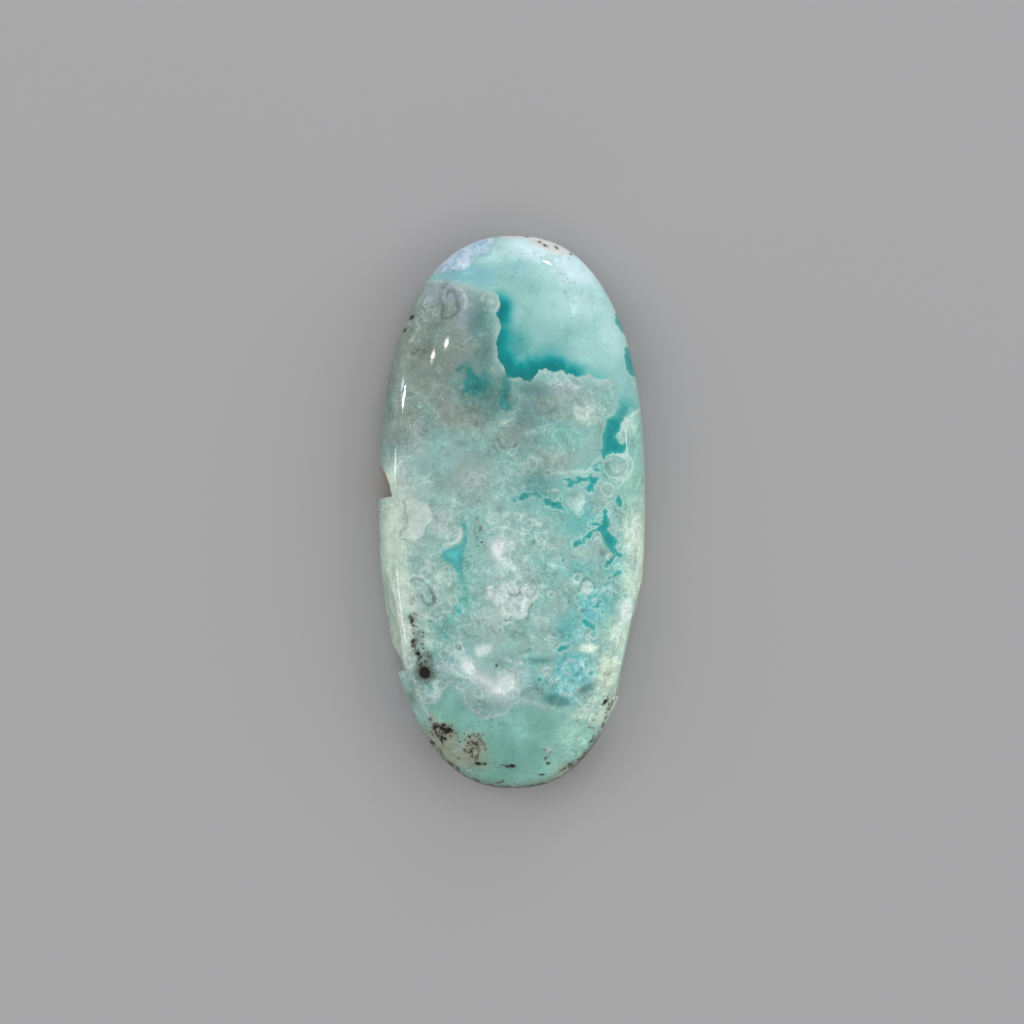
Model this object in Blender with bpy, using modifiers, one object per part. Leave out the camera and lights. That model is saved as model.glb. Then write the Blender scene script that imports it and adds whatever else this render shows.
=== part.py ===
"""A long oval turquoise cabochon: one domed, polished stone with a flat back.

Metres, +Z up. The flat back lies on Z = 0 and the long axis runs along Y, with the origin
under the middle of the stone. The outline is a little egg shaped, widest towards +Y.
"""

import math

import bmesh
import bpy
from mathutils import Euler, Matrix, Vector, noise

MM = 0.001

# Plan, seen from above
LENGTH = 38.0 * MM
WIDTH = 18.3 * MM
WIDEST_STATION = 1.0 * MM  # how far the widest place lies from the middle, towards +Y
FULLNESS = 2.35  # exponent of the outline: 2 is an ellipse, more is squarer

# Section
HEIGHT = 6.2 * MM
GIRDLE_HEIGHT = 1.5 * MM  # where the dome starts
DOME_FULLNESS = 2.2  # exponent of the dome's section
WALL_DRAFT = 0.12 * MM  # how much the wall under the girdle leans in
BACK_BEVEL = 0.4 * MM  # chamfer between the wall and the flat back
SUMMIT_SHIFT = 0.35 * MM  # the summit sits this far towards +X
TIP_SHIFT = 0.10 * MM  # both tips lie this far towards +X

# Hand lapping leaves a very slight wave in the dome
WAVE_HEIGHT = 0.035 * MM
WAVE_LENGTH = 5.0 * MM
WAVE_SEED = Vector((3.1, 7.7, 1.9))

# Resolution of the faceted solid
SEGMENTS = 112
DOME_RINGS = 22
BACK_RINGS = 4
CUTTER_SEGMENTS = 40
CUTTER_RINGS = 24

STONE_COLOUR = (0.33, 0.52, 0.48, 1.0)
STONE_ROUGHNESS = 0.12

# Chips knocked out of the edge, in the order they are cut. Each cutter is half of a long
# ellipsoid: its flat end makes the abrupt step at the low end of the chip, and from there
# the cut runs out towards +Y. The tilt makes the broken face lean in towards the dome.
CHIPS = {
    "left_notch": {
        "flat_end": (-9.27 * MM, 0.90 * MM, 2.00 * MM),
        "half_size": (1.00 * MM, 2.60 * MM, 9.00 * MM),
        "turn": 9.0,
        "tilt": 5.0,
    },
    "left_flake": {
        "flat_end": (-9.35 * MM, -11.00 * MM, 3.00 * MM),
        "half_size": (1.80 * MM, 10.00 * MM, 9.00 * MM),
        "turn": 5.0,
        "tilt": 17.0,
    },
    "left_flake_heel": {
        "flat_end": (-8.49 * MM, -11.05 * MM, 2.00 * MM),
        "half_size": (1.15 * MM, 2.40 * MM, 9.00 * MM),
        "turn": 11.0,
        "tilt": 7.0,
    },
    "right_flake": {
        "flat_end": (8.83 * MM, -12.85 * MM, 2.20 * MM),
        "half_size": (1.75 * MM, 14.00 * MM, 9.00 * MM),
        "turn": -10.5,
        "tilt": -5.0,
    },
}


def clear_scene():
    for obj in list(bpy.data.objects):
        bpy.data.objects.remove(obj, do_unlink=True)


def new_collection(name):
    collection = bpy.data.collections.new(name)
    bpy.context.scene.collection.children.link(collection)
    return collection


def dome_section():
    """Points of the dome from its summit to the girdle, as (share of the radius, height)."""
    rise = HEIGHT - GIRDLE_HEIGHT
    points = []
    for ring in range(DOME_RINGS + 1):
        angle = math.radians(90) * ring / DOME_RINGS
        radius = math.sin(angle) ** (2 / DOME_FULLNESS)
        height = max(math.cos(angle), 0.0) ** (2 / DOME_FULLNESS)
        points.append((radius, GIRDLE_HEIGHT + rise * height))
    return points


def stone_section():
    """The whole section, top to bottom: dome, wall, bevel and flat back."""
    half_width = WIDTH / 2
    wall_foot = 1 - WALL_DRAFT / half_width
    back_edge = wall_foot - BACK_BEVEL / half_width
    points = dome_section()
    points.append((wall_foot, BACK_BEVEL))
    for ring in range(BACK_RINGS + 1):
        points.append((back_edge * (1 - ring / BACK_RINGS), 0.0))
    return points


def turned_blank(collection):
    """A round blank with the stone's section, one half width in radius."""
    section = stone_section()
    mesh = bpy.data.meshes.new("blank_section")
    points = [(radius * WIDTH / 2, 0.0, height) for radius, height in section]
    edges = [(i, i + 1) for i in range(len(points) - 1)]
    mesh.from_pydata(points, edges, [])
    blank = bpy.data.objects.new("blank", mesh)
    collection.objects.link(blank)
    screw = blank.modifiers.new("turn", "SCREW")
    screw.steps = SEGMENTS
    screw.render_steps = SEGMENTS
    screw.use_merge_vertices = True
    screw.merge_threshold = 1e-6
    return blank


def outline_scale(across, along):
    """How far a point in this direction moves out, from the circle to the fuller outline."""
    radius = math.hypot(across, along)
    if radius < 1e-9:
        return 1.0
    powers = abs(across / radius) ** FULLNESS + abs(along / radius) ** FULLNESS
    return powers ** (-1 / FULLNESS)


def place_in_plan(point):
    """Carries a point of the round blank to the egg-shaped outline."""
    half_width = WIDTH / 2
    across = point.x / half_width
    along = point.y / half_width
    reach = LENGTH / 2 - WIDEST_STATION if along > 0 else LENGTH / 2 + WIDEST_STATION
    full = outline_scale(across, along)
    x = across * half_width * full
    y = along * reach * full + WIDEST_STATION
    lift = max(point.z - GIRDLE_HEIGHT, 0.0) / (HEIGHT - GIRDLE_HEIGHT)
    x += SUMMIT_SHIFT * lift**2 + TIP_SHIFT * (along * full) ** 4
    wave = noise.noise(Vector((x, y, 0.0)) / WAVE_LENGTH + WAVE_SEED)
    z = point.z + WAVE_HEIGHT * wave * lift * (1 - lift**8)
    return Vector((x, y, z))


def make_stone(collection):
    """The uncut stone: the turned blank, baked to a mesh and stretched to its outline."""
    blank = turned_blank(collection)
    bpy.context.view_layer.update()
    graph = bpy.context.evaluated_depsgraph_get()
    mesh = bpy.data.meshes.new_from_object(blank.evaluated_get(graph))
    bpy.data.objects.remove(blank, do_unlink=True)
    for vertex in mesh.vertices:
        vertex.co = place_in_plan(vertex.co)
    mesh.name = "cabochon"
    stone = bpy.data.objects.new("cabochon", mesh)
    collection.objects.link(stone)
    return stone


def make_cutter(name, chip, collection):
    """Half of a long ellipsoid: rounded towards +Y, with a flat end where it is deepest."""
    mesh = bpy.data.meshes.new(name)
    shape = bmesh.new()
    upright = Matrix.Rotation(math.radians(-90), 4, "X")
    bmesh.ops.create_uvsphere(
        shape, u_segments=CUTTER_SEGMENTS, v_segments=CUTTER_RINGS, radius=1.0, matrix=upright
    )
    turn = Euler((0.0, math.radians(chip["tilt"]), math.radians(chip["turn"]))).to_matrix()
    size = Matrix.Diagonal(chip["half_size"])
    for vertex in shape.verts:
        vertex.co.y = max(vertex.co.y, 0.0)
        vertex.co = turn @ size @ vertex.co + Vector(chip["flat_end"])
    shape.to_mesh(mesh)
    shape.free()
    cutter = bpy.data.objects.new(name, mesh)
    cutter.hide_render = True
    cutter.display_type = "WIRE"
    collection.objects.link(cutter)
    return cutter


def cut(stone, cutter):
    boolean = stone.modifiers.new(cutter.name, "BOOLEAN")
    boolean.operation = "DIFFERENCE"
    boolean.solver = "EXACT"
    boolean.object = cutter


def stone_material():
    material = bpy.data.materials.new("turquoise")
    material.use_nodes = True
    shader = material.node_tree.nodes["Principled BSDF"]
    shader.inputs["Base Color"].default_value = STONE_COLOUR
    shader.inputs["Roughness"].default_value = STONE_ROUGHNESS
    shader.inputs["Metallic"].default_value = 0.0
    return material


def main():
    clear_scene()
    parts = new_collection("turquoise_cabochon")
    cutters = new_collection("cutters")
    stone = make_stone(parts)
    for name, chip in CHIPS.items():
        cut(stone, make_cutter(name, chip, cutters))
    stone.data.shade_smooth()
    stone.data.set_sharp_from_angle(angle=math.radians(30))
    stone.data.materials.append(stone_material())


main()
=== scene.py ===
# %% [markdown]
# # A long oval turquoise cabochon
# The real stone is one piece: agate-like chalcedony that turquoise has filled and stained. A
# lapidary sawed a slab, ground a long oval, domed its top, and polished it. It has a pale pool
# of turquoise at one end, a deep teal seam around the pool, grey and milky chalcedony in the
# middle, and a little dark host rock at its edges.
#
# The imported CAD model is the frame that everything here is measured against. It comes first.

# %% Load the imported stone
import math

import bmesh
import bpy
import numpy as np
from mathutils import Euler, Matrix, Vector, noise


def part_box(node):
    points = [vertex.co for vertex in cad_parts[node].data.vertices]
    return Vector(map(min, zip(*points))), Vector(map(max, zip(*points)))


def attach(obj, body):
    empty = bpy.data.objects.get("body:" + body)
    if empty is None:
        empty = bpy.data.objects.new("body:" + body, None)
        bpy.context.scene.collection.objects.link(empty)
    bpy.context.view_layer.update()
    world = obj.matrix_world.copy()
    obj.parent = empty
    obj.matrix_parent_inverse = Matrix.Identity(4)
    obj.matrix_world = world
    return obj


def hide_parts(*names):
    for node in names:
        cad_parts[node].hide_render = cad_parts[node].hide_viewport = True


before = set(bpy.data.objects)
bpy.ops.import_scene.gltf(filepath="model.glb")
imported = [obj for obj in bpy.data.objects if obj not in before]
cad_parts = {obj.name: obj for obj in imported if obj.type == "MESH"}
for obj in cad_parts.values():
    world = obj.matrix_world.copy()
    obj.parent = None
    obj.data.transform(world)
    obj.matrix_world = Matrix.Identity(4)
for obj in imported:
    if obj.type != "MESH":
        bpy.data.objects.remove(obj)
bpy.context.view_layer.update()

MM = 0.001
low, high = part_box("cabochon")
print("stone in the frame, mm:", [round((b - a) / MM, 2) for a, b in zip(low, high)])

# %% [markdown]
# ## Writing formulas with nodes
# Geometry Nodes and shader nodes both do arithmetic with Math nodes, one node for each
# operation. A long formula becomes a long list of boxes. So this small class holds one number
# of a node tree, and its plus, minus and times each add the Math node that they stand for.

# %% A number worked out by nodes
class Amount:
    """One number in a node tree. Arithmetic on it adds the Math nodes that work it out."""

    def __init__(self, tree, socket):
        self.tree = tree
        self.socket = socket

    def math(self, operation, *others):
        node = self.tree.nodes.new("ShaderNodeMath")
        node.operation = operation
        for slot, value in zip(node.inputs, (self, *others)):
            feed(self.tree, slot, value)
        return Amount(self.tree, node.outputs[0])

    def __add__(self, other):
        return self.math("ADD", other)

    def __sub__(self, other):
        return self.math("SUBTRACT", other)

    def __rsub__(self, other):
        return self.math("MULTIPLY", -1.0) + other

    def __mul__(self, other):
        return self.math("MULTIPLY", other)

    def __truediv__(self, other):
        return self.math("DIVIDE", other)

    def __pow__(self, other):
        return self.math("POWER", other)

    __radd__ = __add__
    __rmul__ = __mul__

    def above(self, other):
        return self.math("GREATER_THAN", other)

    def size(self):
        return self.math("ABSOLUTE")

    def larger(self, other):
        return self.math("MAXIMUM", other)

    def smaller(self, other):
        return self.math("MINIMUM", other)

    def clip(self):
        return self.larger(0.0).smaller(1.0)


def feed(tree, slot, value):
    """Gives an input slot a number, a colour, or another node's output."""
    if isinstance(value, Amount):
        tree.links.new(value.socket, slot)
    elif isinstance(value, bpy.types.NodeSocket):
        tree.links.new(value, slot)
    else:
        slot.default_value = value


def choose(test, yes, no):
    """yes where test is 1, no where it is 0."""
    return test * yes + (1.0 - test) * no


# %% [markdown]
# ## The shape of the stone
# A cabochon's shape follows a rule. Seen from above it is a superellipse, a little fuller than
# an ellipse and widest off its middle. Cut through, it is a dome on a short wall, with a
# bevelled edge and a flat back. A subdivided cube has the right faces for that: its top becomes
# the dome, its four sides the wall, its underside the back. A sculpted mesh would do too, but a
# Geometry Nodes tree states the rule itself, and its cells stay even, which the markings need.
#
# The sizes are those of the CAD model.

# %% Sizes of the stone
LENGTH = 38.0 * MM
WIDTH = 18.3 * MM
HEIGHT = 6.2 * MM
GIRDLE_HEIGHT = 1.5 * MM  # the dome starts here
WALL_DRAFT = 0.12 * MM
BACK_BEVEL = 0.4 * MM
WIDEST_STATION = 1.0 * MM  # the widest place lies this far towards +Y
OUTLINE_FULLNESS = 2.35
DOME_FULLNESS = 2.2
SUMMIT_SHIFT = 0.35 * MM
TIP_SHIFT = 0.10 * MM
WAVE_HEIGHT = 0.03 * MM
WAVES_PER_METRE = 220.0
CELLS_ACROSS = 150
CELLS_ALONG = 306
CELLS_DOWN = 6
print("cells:", 2 * CELLS_ACROSS * CELLS_ALONG)

# %% Build the node tree of the stone
shape = bpy.data.node_groups.new("domed oval", "GeometryNodeTree")
shape.interface.new_socket("Geometry", in_out="OUTPUT", socket_type="NodeSocketGeometry")
stone_sizes = {
    "Length": LENGTH,
    "Width": WIDTH,
    "Height": HEIGHT,
    "Girdle Height": GIRDLE_HEIGHT,
    "Wall Draft": WALL_DRAFT,
    "Back Bevel": BACK_BEVEL,
    "Widest Station": WIDEST_STATION,
    "Outline Fullness": OUTLINE_FULLNESS,
    "Dome Fullness": DOME_FULLNESS,
    "Summit Shift": SUMMIT_SHIFT,
    "Tip Shift": TIP_SHIFT,
    "Wave Height": WAVE_HEIGHT,
    "Waves Per Metre": WAVES_PER_METRE,
}
size_sockets = {
    name: shape.interface.new_socket(name, in_out="INPUT", socket_type="NodeSocketFloat")
    for name in stone_sizes
}
material_socket = shape.interface.new_socket(
    "Material", in_out="INPUT", socket_type="NodeSocketMaterial"
)
given = shape.nodes.new("NodeGroupInput")
size_of = {name: Amount(shape, given.outputs[name]) for name in stone_sizes}

cube = shape.nodes.new("GeometryNodeMeshCube")
cube.inputs["Size"].default_value = (2.0, 2.0, 2.0)
cube.inputs["Vertices X"].default_value = CELLS_ACROSS + 1
cube.inputs["Vertices Y"].default_value = CELLS_ALONG + 1
cube.inputs["Vertices Z"].default_value = CELLS_DOWN + 1
place = shape.nodes.new("ShaderNodeSeparateXYZ")
shape.links.new(shape.nodes.new("GeometryNodeInputPosition").outputs[0], place.inputs[0])
across, along, upward = (Amount(shape, output) for output in place.outputs)
print("tree inputs:", len(stone_sizes))

# %% [markdown]
# The section comes first: how far out and how high each ring of the cube goes. On the top, the
# rings run from the summit to the girdle along a superellipse, evenly spaced by angle. On the
# sides they go down the wall and round the bevel. On the underside they close the flat back.

# %% Section: radius and height of each ring
half_width = size_of["Width"] * 0.5
bevel = size_of["Back Bevel"]
ring = across.size().larger(along.size())
drop = (1.0 - upward) * 0.5
down_wall = (drop * 2.0).clip()
round_bevel = (drop * 2.0 - 1.0).clip() * math.radians(90)

dome_power = size_of["Dome Fullness"] ** -1.0 * 2.0
dome_angle = ring * math.radians(90)
dome_radius = dome_angle.math("SINE") ** dome_power
dome_rise = dome_angle.math("COSINE").larger(0.0) ** dome_power

foot = 1.0 - (size_of["Wall Draft"] + bevel) / half_width
side_radius = (
    dome_radius
    - down_wall * size_of["Wall Draft"] / half_width
    - (1.0 - round_bevel.math("COSINE")) * bevel / half_width
)
side_height = (
    size_of["Girdle Height"]
    + (size_of["Height"] - size_of["Girdle Height"]) * dome_rise
    - down_wall * (size_of["Girdle Height"] - bevel)
    - round_bevel.math("SINE") * bevel
)
underneath = drop.above(0.999)
radius = choose(underneath, foot * ring, side_radius)
height = choose(underneath, 0.0, side_height)

# %% [markdown]
# Then the plan. Each direction from the middle reaches the superellipse, and the two halves of
# the stone have their own length, which makes the outline slightly egg shaped. Hand lapping
# leaves a very slight wave in the dome, which makes the reflections break up.

# %% Plan: where each ring's points go
fullness = size_of["Outline Fullness"]
reach = (across.size() ** fullness + along.size() ** fullness) ** (fullness**-1.0)
plan_x = across / reach * radius
plan_y = along / reach * radius
half_length = size_of["Length"] * 0.5
station = size_of["Widest Station"]
end_reach = choose(along.above(0.0), half_length - station, half_length + station)
lift = (height - size_of["Girdle Height"]).larger(0.0) / (
    size_of["Height"] - size_of["Girdle Height"]
)
x = (
    plan_x * half_width
    + size_of["Summit Shift"] * lift**2.0
    + size_of["Tip Shift"] * plan_y.size() ** 4.0
)
y = plan_y * end_reach + station

wave = shape.nodes.new("ShaderNodeTexNoise")
wave.inputs["Detail"].default_value = 1.0
flat_place = shape.nodes.new("ShaderNodeCombineXYZ")
for slot, value in zip(flat_place.inputs, (x, y)):
    feed(shape, slot, value)
shape.links.new(flat_place.outputs[0], wave.inputs["Vector"])
feed(shape, wave.inputs["Scale"], size_of["Waves Per Metre"])
swell = (Amount(shape, wave.outputs[0]) - 0.5) * 2.0 * size_of["Wave Height"]
z = height + swell * lift * (1.0 - lift**8.0)
print("nodes in the stone's tree:", len(shape.nodes))

# %% Finish the tree: set positions, realize, material
moved = shape.nodes.new("GeometryNodeSetPosition")
target = shape.nodes.new("ShaderNodeCombineXYZ")
for slot, value in zip(target.inputs, (x, y, z)):
    feed(shape, slot, value)
shape.links.new(cube.outputs["Mesh"], moved.inputs["Geometry"])
shape.links.new(target.outputs[0], moved.inputs["Position"])
realized = shape.nodes.new("GeometryNodeRealizeInstances")
coloured = shape.nodes.new("GeometryNodeSetMaterial")
result = shape.nodes.new("NodeGroupOutput")
shape.links.new(moved.outputs["Geometry"], realized.inputs["Geometry"])
shape.links.new(realized.outputs["Geometry"], coloured.inputs["Geometry"])
shape.links.new(given.outputs["Material"], coloured.inputs["Material"])
shape.links.new(coloured.outputs["Geometry"], result.inputs["Geometry"])

# %% Run the tree and keep a plain mesh
turquoise = bpy.data.materials.new("polished turquoise")


def run_tree(name, tree, values, material):
    """The mesh that a Geometry Nodes tree makes, in an object with no modifier on it."""
    carrier = bpy.data.objects.new(name + " carrier", bpy.data.meshes.new(name + " seed"))
    bpy.context.scene.collection.objects.link(carrier)
    modifier = carrier.modifiers.new("shape", "NODES")
    modifier.node_group = tree
    for socket, value in values.items():
        modifier[socket] = value
    modifier[material_socket.identifier] = material
    bpy.context.view_layer.update()
    graph = bpy.context.evaluated_depsgraph_get()
    mesh = bpy.data.meshes.new_from_object(carrier.evaluated_get(graph))
    bpy.data.objects.remove(carrier, do_unlink=True)
    mesh.name = name
    piece = bpy.data.objects.new(name, mesh)
    bpy.context.scene.collection.objects.link(piece)
    return piece


values = {size_sockets[name].identifier: value for name, value in stone_sizes.items()}
stone = run_tree("polished_stone", shape, values, turquoise)
print("uncut stone:", len(stone.data.vertices), "points", [round(s / MM, 3) for s in stone.dimensions])

# %% [markdown]
# ## The chips
# Four old chips were knocked out of the edge, one on the left at half height and the others
# near the lower end. Each is a smooth broken face that starts with an abrupt step and runs out
# upwards. They are cut as they are in the CAD model: the cutter is half of a long ellipsoid, and
# an exact Boolean takes it out. Moving the stone's own points would leave soft edges instead.

# %% Cut the chips
CHIPS = {
    "left_notch": {
        "flat_end": (-9.27 * MM, 0.90 * MM, 2.00 * MM),
        "half_size": (1.00 * MM, 2.60 * MM, 9.00 * MM),
        "turn": 9.0,
        "tilt": 5.0,
    },
    "left_flake": {
        "flat_end": (-9.35 * MM, -11.00 * MM, 3.00 * MM),
        "half_size": (1.80 * MM, 10.00 * MM, 9.00 * MM),
        "turn": 5.0,
        "tilt": 17.0,
    },
    "left_flake_heel": {
        "flat_end": (-8.49 * MM, -11.05 * MM, 2.00 * MM),
        "half_size": (1.15 * MM, 2.40 * MM, 9.00 * MM),
        "turn": 11.0,
        "tilt": 7.0,
    },
    "right_flake": {
        "flat_end": (8.83 * MM, -12.85 * MM, 2.20 * MM),
        "half_size": (1.75 * MM, 14.00 * MM, 9.00 * MM),
        "turn": -10.5,
        "tilt": -5.0,
    },
}
CHIP_SEGMENTS = 96
CHIP_RINGS = 96


def ellipsoid(name, half_size, turn, middle, flat_end=False):
    """A cutter: an ellipsoid, or the half of one that lies towards +Y."""
    mesh = bpy.data.meshes.new(name)
    form = bmesh.new()
    poles_along_y = Matrix.Rotation(math.radians(-90), 4, "X")
    bmesh.ops.create_uvsphere(
        form, u_segments=CHIP_SEGMENTS, v_segments=CHIP_RINGS, radius=1.0, matrix=poles_along_y
    )
    size = Matrix.Diagonal(half_size)
    for vertex in form.verts:
        if flat_end:
            vertex.co.y = max(vertex.co.y, 0.0)
        vertex.co = turn @ size @ vertex.co + Vector(middle)
    form.to_mesh(mesh)
    form.free()
    cutter = bpy.data.objects.new(name, mesh)
    bpy.context.scene.collection.objects.link(cutter)
    return cutter


def cut_away(piece, cutters):
    """Takes the cutters out of the piece, keeps the result as its mesh and drops the cutters."""
    for cutter in cutters:
        boolean = piece.modifiers.new(cutter.name, "BOOLEAN")
        boolean.operation = "DIFFERENCE"
        boolean.solver = "EXACT"
        boolean.object = cutter
    bpy.context.view_layer.update()
    graph = bpy.context.evaluated_depsgraph_get()
    mesh = bpy.data.meshes.new_from_object(piece.evaluated_get(graph))
    piece.modifiers.clear()
    piece.data = mesh
    mesh.materials.clear()
    mesh.materials.append(turquoise)
    for face in mesh.polygons:
        face.material_index = 0
    for cutter in cutters:
        bpy.data.objects.remove(cutter, do_unlink=True)


chip_cutters = []
for name, chip in CHIPS.items():
    turn = Euler((0.0, math.radians(chip["tilt"]), math.radians(chip["turn"]))).to_matrix()
    chip_cutters.append(ellipsoid(name, chip["half_size"], turn, chip["flat_end"], flat_end=True))

# %% [markdown]
# There is also a small pit near the lower left, where softer host rock fell out of the stone.
# It is under a millimetre wide, so it is left to this model, and the CAD solid has none.

# %% Cut the pit
PIT_MIDDLE = (-5.93 * MM, -10.88 * MM, 4.95 * MM)
PIT_HALF_SIZE = (0.36 * MM, 0.47 * MM, 0.62 * MM)
pit = ellipsoid("pit", PIT_HALF_SIZE, Euler((0.0, 0.0, math.radians(12))).to_matrix(), PIT_MIDDLE)
for vertex in pit.data.vertices:
    outward = vertex.co - Vector(PIT_MIDDLE)
    ragged = 1.0 + 0.22 * noise.noise(outward / (0.33 * MM) + Vector((4.0, 1.0, 7.0)))
    vertex.co = Vector(PIT_MIDDLE) + outward * ragged
cut_away(stone, chip_cutters + [pit])
print("cut stone:", len(stone.data.vertices), "points,", len(stone.data.polygons), "faces")

# %% [markdown]
# ## Where the markings are
# The markings of this stone are its own, so their places are measured on the stone, in
# millimetres from its middle, and written down as short outlines, lines and spots. From each
# of them the distance to every point of the mesh is worked out and stored as an attribute. A
# distance is smooth, so the material can later cut it off sharply, blur it, or draw bands along
# it, and it can fray the edge with fine noise. Painting an image would fix all that for good.
#
# Under the dome the markings lean sideways with depth, so the wall and the flat back show the
# same veins cut through at another level.

# %% Points of the stone in millimetres
count = len(stone.data.vertices)
points = np.empty(count * 3, dtype=np.float32)
stone.data.vertices.foreach_get("co", points)
points = points.reshape(-1, 3) / MM

ends = np.where(points[:, 1] > 1.0, 18.0, 20.0)
outward = (
    np.abs(points[:, 0] / 9.15) ** OUTLINE_FULLNESS
    + np.abs((points[:, 1] - 1.0) / ends) ** OUTLINE_FULLNESS
) ** (1 / OUTLINE_FULLNESS)
dome = 1.5 + 4.7 * np.clip(1 - outward**DOME_FULLNESS, 0, None) ** (1 / DOME_FULLNESS)
depth = np.clip(dome - points[:, 2] - 0.1, 0, None)

WANDER_LENGTH = 1.3
WANDER_AMOUNT = 0.16
noise.seed_set(7)  # without a seed this noise differs at every run
wander = np.array([noise.noise_vector(Vector(point) / WANDER_LENGTH) for point in points])
LEAN = np.array((0.45, 0.60))
plan = points[:, :2] + wander[:, :2] * WANDER_AMOUNT + depth[:, None] * LEAN
print("deepest point under the dome, mm:", round(float(depth.max()), 2))

# %% Distances to drawn marks
def line_distance(corners, closed=False):
    """Distance in mm from each point to a line drawn through the corners."""
    corners = [np.array(corner) for corner in corners]
    following = corners[1:] + corners[:1] if closed else corners[1:]
    nearest = np.full(count, 99.0)
    for start, end in zip(corners, following):
        run = end - start
        share = np.clip(((plan - start) @ run) / max(float(run @ run), 1e-9), 0, 1)
        nearest = np.minimum(nearest, np.hypot(*(plan - start - share[:, None] * run).T))
    return nearest


def area_depth(corners):
    """Distance in mm to a closed outline, above 0 inside it and below 0 outside."""
    within = np.zeros(count, dtype=bool)
    for (x0, y0), (x1, y1) in zip(corners, corners[1:] + corners[:1]):
        if y0 == y1:
            continue
        crosses = (plan[:, 1] > y0) != (plan[:, 1] > y1)
        within ^= crosses & (plan[:, 0] < x0 + (x1 - x0) * (plan[:, 1] - y0) / (y1 - y0))
    return np.where(within, 1, -1) * line_distance(corners, closed=True)


def oval_reach(x, y, across, along, turn=0.0):
    """How far out of an oval each point lies: 0 in its middle and 1 on its edge."""
    c, s = math.cos(math.radians(turn)), math.sin(math.radians(turn))
    dx, dy = plan[:, 0] - x, plan[:, 1] - y
    return np.hypot((dx * c + dy * s) / across, (dy * c - dx * s) / along)


def spot_depth(spots):
    """Depth in mm inside the nearest of several small ovals."""
    return np.max([(1 - oval_reach(*spot)) * min(spot[2], spot[3]) for spot in spots], axis=0)


def soft_patches(patches):
    """A soft cover of overlapping ovals. Each patch is an oval and how strong it is."""
    cover = np.zeros(count)
    for strength, *oval in patches:
        cover = np.maximum(cover, strength * np.exp(-(oval_reach(*oval) ** 2)))
    return cover


def soft_areas(areas):
    """A cover of areas. Each is a strength, the width of its soft edge in mm and its outline."""
    cover = np.zeros(count)
    for strength, softness, outline in areas:
        cover = np.maximum(cover, strength * np.clip(0.5 + area_depth(outline) / softness, 0, 1))
    return cover


def strand_depth(strands):
    """Depth in mm inside the nearest of several strands. Each is a radius and its points."""
    return np.max([radius - line_distance(line) for radius, line in strands], axis=0)


def keep(name, values):
    """Stores one number for each point of the stone, for the material to read."""
    attribute = stone.data.attributes.new(name, "FLOAT", "POINT")
    attribute.data.foreach_set("value", np.asarray(values, dtype=np.float32))
    print(f"{name:12s} {float(np.min(values)):8.2f} to {float(np.max(values)):6.2f}")


# %% [markdown]
# ### The two pools
# At the upper end turquoise filled a hollow and hardened into a smooth, pale pool. Its shore
# against the chalcedony is scalloped and crisp. The lower pool is smaller and duller.

# %% Pools
UPPER_POOL = [
    (-1.2, 14.8), (-0.75, 14.1), (-1.1, 13.4), (-0.8, 12.6), (-0.85, 12.0), (-1.15, 11.4),
    (-1.05, 10.4), (-0.6, 9.7), (-0.4, 9.0), (0.1, 8.95), (0.5, 9.0), (0.8, 8.7), (1.2, 8.7),
    (1.5, 9.1), (1.9, 9.6), (2.4, 9.65), (2.9, 9.35), (3.3, 9.5), (3.6, 9.2), (3.9, 9.4),
    (4.3, 9.2), (5.3, 9.2), (5.9, 8.9), (6.3, 9.0), (6.8, 8.95), (7.1, 8.6), (7.2, 7.8),
    (7.1, 7.4), (7.0, 6.4), (7.6, 6.5), (8.1, 7.1), (8.65, 7.05), (9.6, 7.6), (12.0, 9.0),
    (12.0, 22.0), (-1.0, 22.0), (-1.2, 18.2), (-1.6, 17.6), (-2.4, 17.3), (-2.9, 16.7),
    (-3.5, 16.3), (-4.8, 16.35), (-6.6, 16.6), (-6.4, 16.0), (-4.4, 15.8), (-3.4, 15.55),
    (-2.7, 15.3), (-2.0, 15.0),
]
LOWER_POOL = [
    (-5.8, -13.2), (-5.0, -13.0), (-4.7, -12.2), (-4.2, -11.8), (-3.8, -12.0), (-3.4, -12.5),
    (-3.0, -13.1), (-2.4, -13.8), (-1.9, -14.1), (-0.9, -14.05), (-0.3, -13.9), (0.0, -13.3),
    (0.6, -12.9), (1.6, -13.0), (2.5, -13.3), (3.3, -13.9), (3.1, -14.8), (2.8, -15.8),
    (3.0, -16.6), (2.6, -18.0), (1.6, -19.4), (0.0, -20.0), (-2.0, -19.4), (-2.4, -18.4),
    (-1.6, -17.2), (-1.5, -15.8), (-2.2, -14.8), (-3.4, -14.8), (-4.2, -14.2), (-5.2, -14.0),
]
keep("pool", area_depth(UPPER_POOL))
keep("low_pool", area_depth(LOWER_POOL))
keep("low_soft", np.clip(
    (plan[:, 0] - 1.6) / 1.2, 0, 1
) + np.clip(-(plan[:, 1] + 14.1) / 0.4, 0, 1) * np.clip(-(plan[:, 0] + 0.6) / 0.5, 0, 1))
keep("pool_glow", soft_patches([
    (1.0, 1.8, 18.2, 3.6, 1.9), (1.1, 4.6, 16.9, 3.0, 2.2), (0.7, -1.6, 17.6, 1.4, 1.2),
    (0.6, 7.0, 12.6, 1.8, 3.4), (0.65, 4.6, 14.2, 3.0, 1.8), (0.35, 5.2, 11.4, 2.2, 1.6),
]))
keep("blue_wash", soft_patches([
    (1.0, -3.6, 16.2, 2.6, 0.9), (0.9, -1.9, 16.0, 1.0, 1.2), (0.6, 0.4, 16.6, 1.2, 0.8),
]))
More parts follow.
